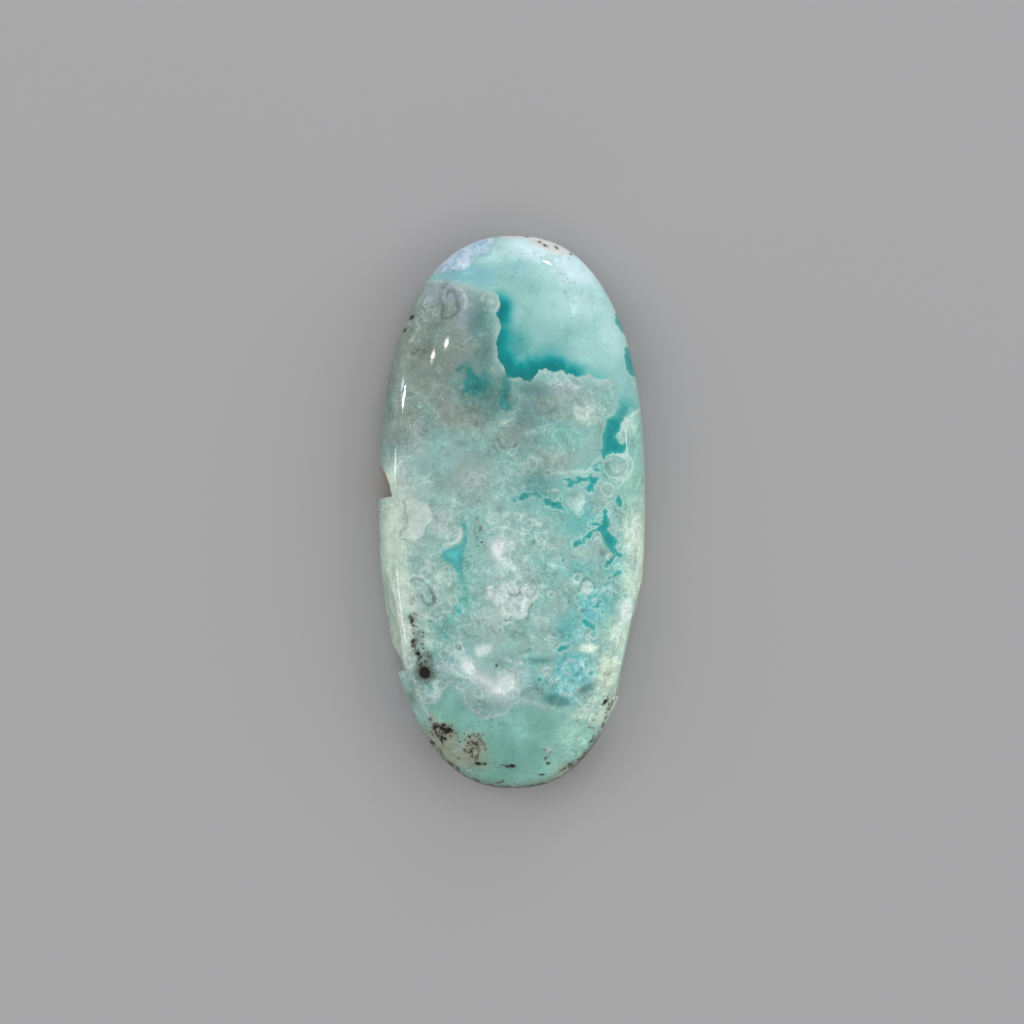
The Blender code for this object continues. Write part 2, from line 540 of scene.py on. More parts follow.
keep("flecks", soft_patches([
    (1.0, 1.2, 17.2, 0.9, 0.6), (0.9, 1.6, 15.0, 0.6, 0.7), (0.9, 3.9, 15.2, 0.9, 0.9),
    (0.6, 4.9, 14.9, 0.5, 0.5), (0.5, 4.6, 11.2, 1.2, 0.9), (0.4, 1.4, 13.4, 0.5, 0.5),
    (0.5, 0.0, 16.4, 0.8, 0.5),
]))

# %% [markdown]
# ### Teal seams
# Where turquoise lies thick against the chalcedony it is a deep teal: a soft inner shade along
# the pool's shore, a crisp vein at the right, and small branching threads. The shade is soft
# patches that only show inside the pool. The veins are outlines and strands.

# %% Teal
keep("shore_teal", soft_patches([
    (1.0, -0.45, 9.9, 1.3, 1.5), (1.0, 1.0, 9.3, 1.8, 1.6), (0.85, -0.85, 11.4, 1.1, 1.5),
    (0.85, -0.7, 13.5, 1.0, 1.2), (0.85, 2.6, 9.7, 1.5, 1.1), (0.6, 4.0, 9.4, 1.2, 1.0),
    (0.25, 5.4, 9.2, 1.5, 1.0), (0.75, 1.05, 10.4, 0.22, 1.3),
]))
keep("soft_teal", soft_patches([
    (0.35, 7.7, 8.4, 0.6, 1.0), (0.2, 8.3, 8.4, 0.7, 1.2), (0.9, 7.7, 7.1, 0.9, 0.8),
    (0.8, 0.3, 11.2, 1.5, 1.6), (0.6, 2.2, 10.8, 2.0, 1.0),
    (0.35, -4.6, 15.9, 1.8, 0.25), (0.3, 7.3, 10.0, 0.9, 1.0),
]))
RIGHT_VEIN = [
    (8.65, 7.05), (8.3, 7.5), (7.5, 7.6), (7.0, 6.6), (6.4, 6.3), (6.3, 5.4), (6.15, 4.9),
    (6.05, 4.2), (5.6, 4.1), (6.05, 3.9), (6.15, 3.5), (6.4, 3.95), (7.1, 4.0), (7.5, 4.05),
    (7.9, 4.6), (7.3, 4.7), (7.0, 5.1), (7.3, 5.6), (7.4, 6.0), (7.7, 6.4), (8.2, 6.8),
]
UPPER_LENS = [(7.1, 13.6), (7.0, 13.3), (7.1, 12.8), (7.45, 12.4), (8.6, 12.0), (8.2, 14.2)]
LOWER_LENS = [(7.7, 11.3), (7.65, 10.5), (7.85, 9.7), (8.1, 9.3), (9.4, 9.1), (9.2, 11.4)]
CENTRE_VEIN = [
    (-0.2, 0.9), (0.4, 1.0), (0.8, 1.25), (1.2, 1.2), (1.6, 1.3), (2.0, 0.95), (2.6, 0.75),
    (3.0, 0.6), (3.2, 0.7), (3.37, 1.25), (3.3, 0.6), (3.3, 0.35), (3.6, 0.0), (3.1, 0.25),
    (2.5, 0.35), (2.1, 0.55), (1.8, 1.0), (1.3, 1.05), (0.9, 0.85), (0.3, 0.75),
]
MIDDLE_VEIN = [
    (3.4, 2.2), (3.95, 2.3), (4.1, 2.15), (4.35, 2.25), (4.42, 2.65), (4.55, 2.3), (5.1, 2.3),
    (5.25, 2.55), (5.5, 2.35), (6.0, 2.15), (5.6, 1.9), (5.4, 1.65), (5.5, 1.35), (5.0, 1.4),
    (4.65, 1.5), (5.1, 1.8), (5.25, 2.05), (5.1, 2.15), (4.6, 2.15), (4.2, 1.95), (3.6, 1.6),
    (3.95, 2.05),
]
BRANCHED_VEIN = [
    (6.35, 0.3), (6.55, 0.05), (6.35, -0.1), (6.55, -0.4), (6.68, -0.95), (6.4, -1.15),
    (6.6, -1.35), (6.95, -1.7), (7.25, -2.0), (7.0, -2.3), (7.1, -2.7), (7.5, -2.9),
    (7.3, -3.15), (7.0, -3.0), (6.7, -3.35), (6.4, -3.75), (6.15, -3.65), (6.6, -3.1),
    (6.85, -2.8), (6.65, -2.5), (6.3, -2.2), (6.1, -1.7), (5.95, -1.3), (5.5, -1.3),
    (5.3, -1.5), (5.15, -1.8), (4.9, -1.7), (4.7, -2.0), (4.15, -2.45), (4.05, -2.0),
    (4.6, -1.8), (5.05, -1.35), (5.7, -1.1), (5.9, -0.95), (5.5, -0.85), (5.1, -0.8),
    (5.2, -0.65), (5.8, -0.65), (6.1, -0.8), (6.2, -0.3), (6.15, 0.0),
]
LONE_LENS = [(7.0, 0.9), (7.2, 1.15), (7.45, 0.8), (7.52, 0.5), (7.3, 0.32), (7.1, 0.6)]
GREY_PATCH = [
    (-2.95, 9.9), (-2.6, 9.3), (-2.1, 8.9), (-1.9, 8.3), (-2.4, 7.8), (-2.9, 7.9),
    (-3.3, 7.8), (-3.1, 8.4), (-3.5, 8.7), (-3.1, 9.0),
]
TEAL_STRANDS = [
    (0.05, [(5.4, 3.05), (5.65, 3.15), (5.6, 2.75), (5.95, 2.7)]),
    (0.05, [(6.55, -4.5), (6.9, -4.3), (7.1, -4.1), (7.4, -4.15)]),
    (0.06, [(3.3, -2.8), (3.4, -3.3)]),
    (0.08, [(5.5, -6.5), (5.8, -6.4), (6.0, -6.1)]), (0.05, [(6.0, -6.6), (6.15, -6.95)]),
    (0.11, [(4.75, -7.3), (5.1, -7.5), (5.5, -7.75)]), (0.05, [(6.4, -5.2), (6.6, -5.6)]),
    (0.04, [(-3.9, -2.75), (-3.4, -2.55)]), (0.05, [(-3.85, -6.3), (-3.6, -6.8)]),
    (0.05, [(-3.6, -6.1), (-3.4, -6.6)]), (0.06, [(-4.6, -8.4), (-4.3, -8.5)]),
    (0.05, [(-7.0, -6.8), (-6.9, -7.3)]), (0.07, [(4.7, -10.4), (4.75, -11.0)]),
    (0.04, [(5.0, -10.0), (5.1, -10.5)]),
]
TEAL_SPOTS = [
    (3.45, -9.2, 0.32, 0.16, 20), (1.8, -11.3, 0.14, 0.14), (5.35, -10.9, 0.2, 0.13, 30),
    (3.75, -10.65, 0.14, 0.12), (7.2, -4.1, 0.16, 0.09), (3.9, -8.3, 0.22, 0.12),
]
keep("teal", np.max([
    area_depth(RIGHT_VEIN), area_depth(UPPER_LENS), area_depth(LOWER_LENS),
    area_depth(CENTRE_VEIN), area_depth(MIDDLE_VEIN), area_depth(BRANCHED_VEIN),
    area_depth(LONE_LENS), strand_depth(TEAL_STRANDS), spot_depth(TEAL_SPOTS),
], axis=0))
CYAN_PATCH = [
    (-4.8, -2.9), (-4.5, -2.55), (-3.9, -2.35), (-3.5, -2.1), (-3.25, -1.5), (-3.3, -1.1),
    (-3.35, -0.9), (-3.15, -0.6), (-3.0, -1.0), (-3.1, -1.5), (-3.2, -2.2),
    (-3.25, -3.0), (-3.3, -3.6), (-3.4, -4.2), (-3.6, -4.0), (-4.0, -3.5), (-4.4, -3.4),
]
CYAN_TRAIL = [
    (0.30, [(-3.3, -4.4), (-3.2, -5.0), (-3.1, -5.5), (-3.1, -6.0)]),
    (0.22, [(-3.5, -6.0), (-3.9, -6.8), (-4.3, -7.6), (-4.6, -8.4)]),
]
keep("seam", strand_depth([
    (0.24, [(-0.45, 9.0), (-0.4, 8.3), (-0.6, 7.5), (-0.3, 7.0)]),
    (0.08, [(-1.9, 9.4), (-1.75, 8.8), (-1.9, 8.0)]), (0.07, [(-3.6, 9.6), (-3.3, 9.9)]),
    (0.10, [(-3.15, 9.9), (-2.9, 9.4), (-2.3, 8.9), (-1.9, 8.5)]), (0.08, [(-3.2, 8.8), (-2.6, 8.3)]),
]))
keep("vein_fade", np.where(
    (plan[:, 0] > 5.8) & (plan[:, 1] < 9.0) & (plan[:, 1] > 5.0),
    np.clip((plan[:, 1] - 6.2) / 1.2, 0, 1), 0.0,
))
keep("cyan", area_depth(CYAN_PATCH))
keep("cyan_trail", strand_depth(CYAN_TRAIL))
keep("grey_teal", area_depth(GREY_PATCH))

# %% [markdown]
# ### Soft clouds of colour
# Between the pools lies chalcedony with clouds in it: grey at the upper left, milk white in
# the middle and lower left, cream near the lower right edge, lavender near the top, and aqua
# where turquoise stained it. Each kind of cloud is a handful of soft ovals.

# %% Clouds
keep("grey", soft_patches([
    (1.15, -5.6, 11.2, 3.8, 4.6), (0.9, -3.2, 7.6, 3.0, 3.0), (0.7, -7.2, 6.4, 2.2, 3.4),
    (0.45, 3.0, 7.2, 3.6, 1.6), (0.6, 0.4, 5.2, 2.4, 1.6), (0.5, -3.0, 2.6, 3.0, 2.4),
    (0.55, -7.8, 13.2, 1.2, 2.2), (0.45, 2.6, 3.4, 2.4, 1.2), (0.35, -1.0, -7.6, 2.4, 1.4),
]))
keep("lavender", soft_patches([
    (0.9, -4.0, 15.0, 1.6, 0.9), (0.9, -5.5, 14.6, 1.0, 0.9), (0.75, -2.9, 13.4, 1.2, 1.8),
    (0.4, -6.0, 5.4, 1.2, 0.8), (0.35, 1.6, 6.8, 0.9, 0.9), (0.6, 3.4, 8.4, 2.6, 0.8),
    (0.35, -2.0, 11.4, 0.8, 1.4), (0.3, -8.0, 9.6, 0.5, 2.2),
]))
keep("aqua", soft_patches([
    (0.3, -4.2, 3.6, 1.6, 1.0), (0.6, 2.1, -3.5, 1.4, 1.0),
    (0.8, 3.7, -8.0, 1.0, 1.6), (0.9, 5.6, -6.3, 1.3, 1.6), (0.7, 6.6, 3.2, 1.6, 2.0),
    (0.7, 4.6, -0.8, 1.8, 1.8), (0.6, 4.5, -3.8, 1.4, 1.2), (0.8, 7.2, -8.8, 0.8, 1.5), (1.2, 4.3, -10.5, 1.4, 1.2), (0.6, 1.4, -10.0, 1.2, 1.0),
    (0.7, 6.6, -4.2, 0.9, 1.2), (0.5, 3.2, 1.8, 2.2, 1.0), (0.6, 1.6, -11.2, 1.2, 1.0),
    (0.5, -3.8, -3.4, 1.2, 2.4), (0.4, -1.8, 8.6, 1.0, 1.4), (0.4, -7.0, -6.6, 0.6, 1.4),
    (0.5, 1.4, 1.6, 1.6, 1.8), (0.4, 1.4, 4.8, 1.4, 1.4), (0.55, 8.2, 3.6, 0.8, 2.0), (0.5, 7.9, -4.6, 0.7, 1.0), (0.4, 0.6, 0.6, 2.0, 1.0),
]))
LEFT_OVAL = [
    (-7.05, 0.2), (-7.0, 0.7), (-6.6, 0.95), (-6.0, 0.7), (-5.35, 0.4), (-5.2, -0.3),
    (-5.5, -0.9), (-5.9, -1.1), (-6.0, -1.7), (-6.5, -2.0), (-7.2, -2.0), (-7.6, -1.7),
    (-7.4, -1.2), (-7.1, -0.9), (-6.95, -0.3),
]
CRESCENT = [
    (-3.55, -0.9), (-3.3, -1.25), (-3.45, -1.7), (-3.95, -2.15), (-4.6, -2.5), (-4.95, -3.05),
    (-4.75, -2.5), (-4.1, -2.0), (-3.75, -1.6), (-3.75, -1.1),
]
MIDDLE_GLOW = [
    (-1.6, -2.0), (-0.9, -1.5), (-0.3, -1.9), (0.2, -1.9), (0.4, -2.2), (-0.2, -2.4),
    (-0.3, -3.0), (0.0, -3.6), (-0.3, -3.9), (-0.8, -3.5), (-1.4, -3.2),
]
CLUSTER = [
    (-1.1, -5.2), (-0.6, -4.85), (0.2, -4.75), (0.7, -4.95), (1.3, -4.75), (1.6, -5.1),
    (1.45, -5.5), (1.1, -5.7), (1.2, -6.2), (0.9, -6.4), (0.95, -6.9), (0.5, -7.1),
    (0.0, -6.9), (-0.4, -7.1), (-0.8, -6.7), (-0.7, -6.3), (-1.2, -6.0), (-1.5, -5.6),
]
LOW_OVAL = [
    (-2.5, -9.3), (-2.4, -8.95), (-1.7, -8.85), (-1.3, -8.95), (-1.25, -9.3), (-1.8, -9.6),
    (-2.3, -9.6),
]
LOW_BAND = [
    (-3.55, -9.75), (-2.7, -9.85), (-2.05, -10.6), (-1.2, -11.25), (-0.8, -10.8), (-0.15, -10.6),
    (0.3, -11.25), (0.25, -12.0), (-0.3, -12.4), (-1.2, -12.5), (-1.95, -11.85), (-2.8, -11.15),
    (-3.6, -10.7),
]
LOW_DROP = [(-0.1, -11.0), (0.17, -11.1), (0.2, -11.6), (0.05, -11.85), (-0.2, -11.8), (-0.15, -11.4)]
TALL_SPOT = [(-1.7, -4.9), (-1.25, -4.8), (-1.2, -5.2), (-1.35, -5.7), (-1.65, -5.6), (-1.8, -5.2)]
RIGHT_WHITE = [
    (7.3, -6.6), (7.5, -6.1), (8.1, -6.0), (8.4, -6.3), (8.3, -7.2), (7.9, -7.6), (7.2, -7.7),
    (7.3, -7.0),
]
PALE_OVAL = [
    (4.6, -5.2), (4.75, -4.75), (5.0, -4.55), (5.3, -4.7), (5.45, -5.2), (5.25, -5.6), (4.85, -5.65),
]
PALE_CORNER = [
    (3.5, 0.7), (3.8, 1.2), (4.4, 1.3), (4.9, 0.9), (4.7, 0.2), (4.2, -0.1), (3.7, 0.2),
]
keep("milk", np.maximum(soft_areas([
    (0.55, 0.15, PALE_OVAL), (0.35, 0.2, PALE_CORNER),
    (0.62, 0.30, LEFT_OVAL), (0.65, 0.16, CRESCENT), (0.85, 0.9, MIDDLE_GLOW),
    (0.60, 0.20, CLUSTER), (0.72, 0.30, LOW_OVAL), (0.70, 0.75, LOW_BAND), (1.0, 0.2, LOW_DROP),
    (0.9, 0.3, TALL_SPOT), (0.75, 0.5, RIGHT_WHITE),
]), soft_patches([
    (1.1, -3.0, -10.35, 0.5, 0.5), (1.0, -1.1, -12.0, 0.5, 0.4), (0.8, -2.0, -11.3, 0.6, 0.35, -40), (1.0, 0.75, -6.4, 0.22, 0.32), (0.9, 0.9, -5.95, 0.3, 0.14),
    (0.8, 0.9, -5.1, 0.45, 0.2), (0.8, -1.1, -6.1, 0.14, 0.3), (0.6, -0.5, -6.6, 0.4, 0.16, -35),
    (0.8, 0.4, -6.75, 0.3, 0.14), (0.5, 1.8, -7.2, 0.8, 0.7), (0.8, 0.08, -12.35, 0.12, 0.4),
    (0.7, -0.2, -9.95, 0.28, 0.2), (0.8, 0.6, -10.1, 0.35, 0.16), (0.6, -3.5, -8.4, 0.2, 0.35),
    (0.7, -4.3, -9.1, 0.22, 0.3), (0.5, -3.8, -9.0, 0.35, 0.3), (0.5, -3.9, -9.5, 0.3, 0.3),
    (0.5, 3.2, -5.3, 0.3, 0.2), (0.6, 2.1, -5.0, 0.35, 0.2),
    (0.4, 3.6, -6.3, 0.35, 0.35), (0.6, 2.3, -11.1, 0.2, 0.12), (0.6, 2.6, -11.4, 0.15, 0.1),
    (0.6, 3.0, -11.4, 0.15, 0.1), (0.5, 2.1, -10.6, 0.35, 0.16), (0.5, 4.6, -13.6, 0.8, 0.5),
    (0.5, 7.3, 2.9, 0.8, 0.8), (0.35, 6.5, 1.5, 0.5, 0.6),     (0.5, 4.9, 6.5, 0.6, 0.8), (0.45, 3.6, 8.5, 1.3, 0.4), (0.55, 8.0, 5.6, 0.5, 0.9),
    (0.5, 8.2, -2.4, 0.6, 1.5), (0.4, -1.8, 8.3, 0.2, 0.9), (0.45, 7.3, -8.4, 0.6, 0.8),
    (0.5, 6.2, 0.9, 0.4, 0.18), (0.6, 6.5, -2.9, 0.25, 0.22), (0.35, -5.8, 1.8, 1.0, 0.8),
    (0.5, -4.2, -1.3, 0.55, 0.5), (0.3, 2.0, -0.6, 1.2, 0.5), (0.4, 0.4, -4.3, 0.5, 0.5),
    (0.6, -5.9, -3.8, 0.3, 0.16), (0.3, -6.2, -5.2, 0.5, 0.6), (0.35, -6.4, 4.2, 1.0, 1.2),
    (0.4, -1.0, 0.9, 0.25, 0.3), (0.4, -3.9, 0.9, 0.2, 0.5), (0.3, -8.3, -4.3, 0.3, 0.5),
    (0.35, -0.9, -5.6, 0.5, 0.7), (0.35, 0.8, -5.4, 0.6, 0.5), (0.45, -7.6, -5.5, 1.4, 3.0), (0.45, -4.6, -0.8, 1.4, 1.6), (0.4, -1.6, -7.2, 1.6, 1.2),
    (0.5, -7.6, 2.2, 1.2, 1.6), (0.35, -1.4, -4.4, 1.6, 1.4), (0.3, 0.8, -3.6, 1.6, 1.4),
])))
CREAM_PATCH = [
    (4.45, -9.3), (4.8, -8.9), (5.2, -8.75), (5.7, -8.9), (5.7, -9.25), (5.3, -9.45), (4.8, -9.4),
]
SMALL_CREAM = [(5.65, -10.0), (5.9, -9.7), (6.1, -9.9), (6.1, -10.4), (5.85, -10.4)]
LOW_CREAM = [
    (3.5, -13.3), (4.2, -12.9), (5.4, -12.2), (6.2, -12.2), (6.4, -13.4), (5.5, -14.6),
    (4.8, -14.3), (3.7, -14.1),
]
keep("cream", np.maximum(soft_areas([
    (0.95, 0.35, CREAM_PATCH), (0.85, 0.25, SMALL_CREAM), (0.45, 0.8, LOW_CREAM),
]), soft_patches([
    (1.05, 8.3, -1.8, 1.0, 2.2), (0.85, 6.8, -10.4, 1.1, 1.3), (1.05, -8.1, -1.6, 1.4, 3.4),
    (1.0, -7.8, -5.2, 1.2, 2.6), (1.0, -7.4, -7.8, 1.0, 1.8), (0.65, -8.2, 2.2, 1.0, 1.6),
    (0.95, 7.4, -8.6, 1.0, 1.8), (0.85, 8.1, -4.8, 0.8, 1.5),
    (0.6, -5.7, -8.6, 0.7, 1.0), (0.5, 8.2, -7.6, 0.4, 1.4), (0.35, -8.0, -6.4, 0.4, 2.2),
    (0.45, -4.6, -4.4, 0.8, 0.6), (0.5, -7.6, -11.0, 0.35, 0.4), (0.5, 5.0, -14.0, 0.5, 0.4),
    (0.5, 8.8, 0.8, 0.4, 1.2), (0.5, -4.0, -5.9, 0.35, 0.3), (0.3, 0.4, -7.6, 0.7, 0.8),
    (0.4, -6.3, 11.6, 0.2, 0.5), (0.3, 4.6, -15.2, 1.0, 0.8),
])))
keep("calm", soft_patches([
    (0.8, -4.6, 3.0, 2.6, 3.0), (1.2, -6.3, -0.6, 1.3, 1.8), (0.6, -4.0, -1.4, 0.8, 0.8),
    (0.6, -4.6, 9.6, 2.8, 2.2), (0.6, -5.0, 13.6, 2.4, 2.0), (1.2, -1.5, -11.0, 1.8, 1.6), (1.0, -1.9, -9.2, 1.0, 0.7), (0.5, -8.2, -1.5, 0.8, 2.5),
    (0.5, 1.8, -7.2, 0.8, 0.7), (0.5, 3.6, 3.4, 1.6, 0.8),
]))
keep("bubbly", soft_patches([
    (1.0, -5.6, -4.4, 1.2, 1.2), (1.0, -3.9, -9.2, 1.0, 1.0), (0.9, -6.0, -6.6, 1.2, 0.8),
    (1.0, 2.6, -10.9, 0.9, 0.7), (1.0, -6.0, -12.0, 1.0, 0.9), (0.8, 7.2, 2.4, 1.2, 1.6),
    (0.8, 5.2, -9.0, 1.4, 1.2), (0.9, 6.6, -5.4, 1.2, 1.2), (0.9, -2.2, -12.4, 1.2, 0.8),
    (0.7, 1.2, 3.4, 1.6, 0.9), (0.6, 4.8, 6.6, 1.2, 1.2), (0.8, 0.9, -0.9, 2.2, 0.8), (1.0, 2.2, -1.9, 1.0, 0.8), (0.9, 5.2, 2.0, 1.4, 0.9),
    (0.9, 5.6, -1.6, 1.2, 1.2),
    (0.8, 0.6, -5.4, 1.4, 1.2), (0.7, -6.0, 13.8, 1.4, 1.4), (0.8, 2.0, -8.6, 1.6, 0.9),
    (0.9, 6.0, -13.4, 1.2, 1.2), (0.7, 6.4, 0.4, 1.4, 0.9), (1.0, -3.9, -6.0, 1.0, 1.8),
    (0.7, -0.4, -3.4, 1.2, 1.2), (0.7, 2.6, -3.8, 1.4, 1.0), (0.6, -2.2, 7.8, 1.0, 1.2),
]))
keep("crisp", soft_patches([
    (1.0, -4.4, -5.6, 1.4, 4.0), (0.9, -4.5, -10.5, 1.4, 1.4), (0.9, -1.6, 7.8, 1.2, 1.4),
    (0.7, -1.5, -13.0, 1.5, 0.9), (0.9, 1.5, -10.2, 1.6, 1.4), (0.7, 4.6, -6.0, 1.5, 3.0),
    (0.6, 4.6, -10.4, 1.6, 1.4), (0.8, 7.2, -4.2, 1.0, 1.6), (0.8, -4.5, -13.0, 1.2, 0.9),
    (0.9, 2.0, 16.8, 2.0, 1.2), (0.9, -1.2, 17.0, 1.5, 1.0), (0.8, 4.4, 14.4, 1.2, 1.0),
    (0.8, 7.4, 8.0, 0.8, 1.5),
]))
keep("blue", soft_patches([
    (1.1, 4.2, -10.6, 1.4, 1.1), (0.8, 3.2, -12.4, 1.4, 0.7), (0.7, 5.4, -6.8, 1.0, 1.4),
    (0.6, 3.8, -8.0, 0.9, 1.4), (0.3, -4.2, 3.6, 1.4, 1.0), (0.5, 1.6, -11.4, 1.0, 0.8),
    (0.4, 7.4, -2.6, 0.8, 1.2),
]))
keep("chalk", soft_patches([
    (0.8, -7.2, 0.0, 1.8, 3.4), (0.7, -4.6, -0.8, 1.6, 1.6), (0.85, -7.2, -7.0, 1.8, 2.6),
    (0.6, -7.6, 2.6, 1.4, 1.8), (1.0, -7.3, -9.6, 0.8, 1.4), (0.4, -4.6, -7.4, 1.2, 1.0),
    (0.4, 0.2, -6.6, 1.8, 1.2),
]))
keep("warm", soft_patches([
    (0.9, 6.5, -11.0, 1.0, 1.9), (0.8, 7.2, -12.6, 0.7, 1.2), (0.6, 6.0, -14.2, 0.9, 0.9),
    (0.4, -8.6, -2.4, 0.5, 2.4), (0.5, 8.8, -4.2, 0.4, 1.8), (0.4, 3.2, -17.8, 1.2, 0.6),
]))
keep("pearl", soft_patches([
    (1.0, -2.2, -11.0, 1.7, 0.9, -35), (0.8, -4.4, -10.5, 1.2, 0.6, -10), (0.7, 0.5, -10.8, 1.0, 1.0),
    (0.7, -0.8, -12.6, 1.4, 0.8), (0.4, -1.0, -5.8, 1.8, 1.2), (0.4, -2.6, 2.2, 2.0, 2.0),
    (0.35, 3.9, 8.2, 1.6, 0.8), (0.5, -4.2, 3.6, 1.6, 1.4),
]))
keep("smoke", soft_patches([
    (1.0, -5.9, -10.9, 0.85, 0.95), (0.7, -5.6, -9.8, 0.6, 0.8), (0.6, -6.5, -8.8, 0.35, 1.0),
    (0.6, -6.7, -7.3, 0.5, 0.4), (0.9, -4.7, -14.9, 0.8, 0.5, -20), (0.5, -2.4, -16.2, 0.5, 0.8),
    (0.45, -5.2, -6.6, 0.6, 0.6), (0.5, -0.2, -17.35, 0.5, 0.2), (0.5, -2.1, -17.1, 0.5, 0.25),
]))
keep("green", soft_patches([
    (1.0, 4.3, -15.3, 1.8, 1.6), (0.8, 2.9, -17.2, 1.4, 0.9), (0.7, 7.9, -4.6, 0.9, 1.8),
    (0.9, 7.9, 2.0, 1.0, 2.2), (0.5, -3.6, -5.4, 0.9, 1.6), (0.6, 6.6, -8.0, 1.0, 1.2),
    (0.4, 0.4, -8.4, 1.6, 0.9), (0.8, 8.2, 5.4, 0.8, 1.8),
]))
keep("moss", soft_patches([
    (0.7, -6.8, -12.5, 0.8, 1.2), (0.6, -4.1, -5.2, 0.4, 0.5), (0.5, -5.6, -9.9, 0.5, 0.5),
    (0.55, -2.2, -1.0, 0.35, 0.9, 18), (0.5, -6.0, 10.6, 0.8, 0.7), (0.6, 2.9, -8.95, 0.35, 0.25),
    (0.5, -7.9, -3.0, 0.25, 0.2), (0.5, -7.6, -1.3, 0.2, 0.25), (0.6, 3.4, -17.6, 1.2, 0.6),
    (0.5, -5.0, -16.4, 1.6, 0.8), (0.5, -8.3, 7.4, 0.5, 1.8), (0.4, 1.3, 4.6, 1.6, 0.5, 20),
    (0.6, -4.0, -17.2, 1.2, 0.6), (0.5, 6.2, -13.8, 0.8, 0.8), (1.0, -4.8, -15.4, 1.8, 2.0),
    (1.0, -2.4, -16.6, 1.6, 1.6), (0.5, -4.6, -10.4, 1.6, 0.8), (0.6, -5.4, -13.4, 1.2, 1.0),
    (0.7, -1.0, -17.8, 2.0, 0.8), (0.3, -7.4, -11.4, 0.8, 0.9), (0.5, -2.6, -12.9, 1.2, 0.7), (0.6, -5.6, -10.6, 1.4, 0.9),
    (0.6, -3.2, -5.2, 0.6, 1.6),
]))
# Dark teal-grey patches of the stone's own colour, and painted shade: the patches along the left edge darken it as
# shade.
keep("dark_teal_and_shade", soft_patches([
    (1.4, 3.0, -12.7, 0.9, 0.36, -15), (1.2, 5.0, -11.9, 0.6, 0.32, 25), (0.8, 2.0, -9.9, 1.2, 0.25),
    (0.6, -8.4, 7.6, 0.5, 2.0), (0.5, -7.2, -1.0, 0.2, 1.2), (0.45, -5.9, -10.4, 0.9, 1.0),
    (0.6, -6.8, -12.6, 0.6, 1.1), (0.4, -6.6, 13.2, 0.8, 1.2), (0.4, 0.0, 4.4, 1.0, 0.3, 30),
    (0.35, 4.9, 5.6, 1.2, 0.3), (0.4, -6.0, 9.2, 1.2, 0.4), (0.35, -3.2, 10.8, 0.8, 0.4),
    (1.1, -1.3, 7.9, 1.8, 1.9), (0.8, -1.8, 10.8, 0.9, 2.0), (0.5, 0.2, 7.2, 1.0, 1.4),
    (0.5, 1.0, 8.2, 1.4, 1.0), (0.3, -4.2, 8.2, 1.6, 1.6), (0.9, -2.2, 12.9, 1.0, 2.0),
    (0.75, 0.9, 6.6, 2.0, 1.6), (0.85, 1.3, 8.2, 1.8, 0.9), (0.35, 2.4, 6.0, 1.6, 1.2), (0.5, 1.4, 4.6, 1.6, 1.6), (0.5, -1.5, 13.2, 0.9, 1.4),
    (0.7, 1.5, 2.1, 1.8, 1.6),
    (0.35, -5.0, 11.6, 2.4, 2.4), (0.3, 4.4, -10.0, 1.2, 1.2), (0.6, -1.7, -13.0, 2.0, 0.9),
]))

# %% [markdown]
# ### Lace
# Chalcedony grows in thin shells, and the polish cuts them open as fine white curls, rings and
# wavy lines. Some have a dark line beside them. The ones that can be told apart on the stone
# are drawn here, and the material adds the countless small ones between them.

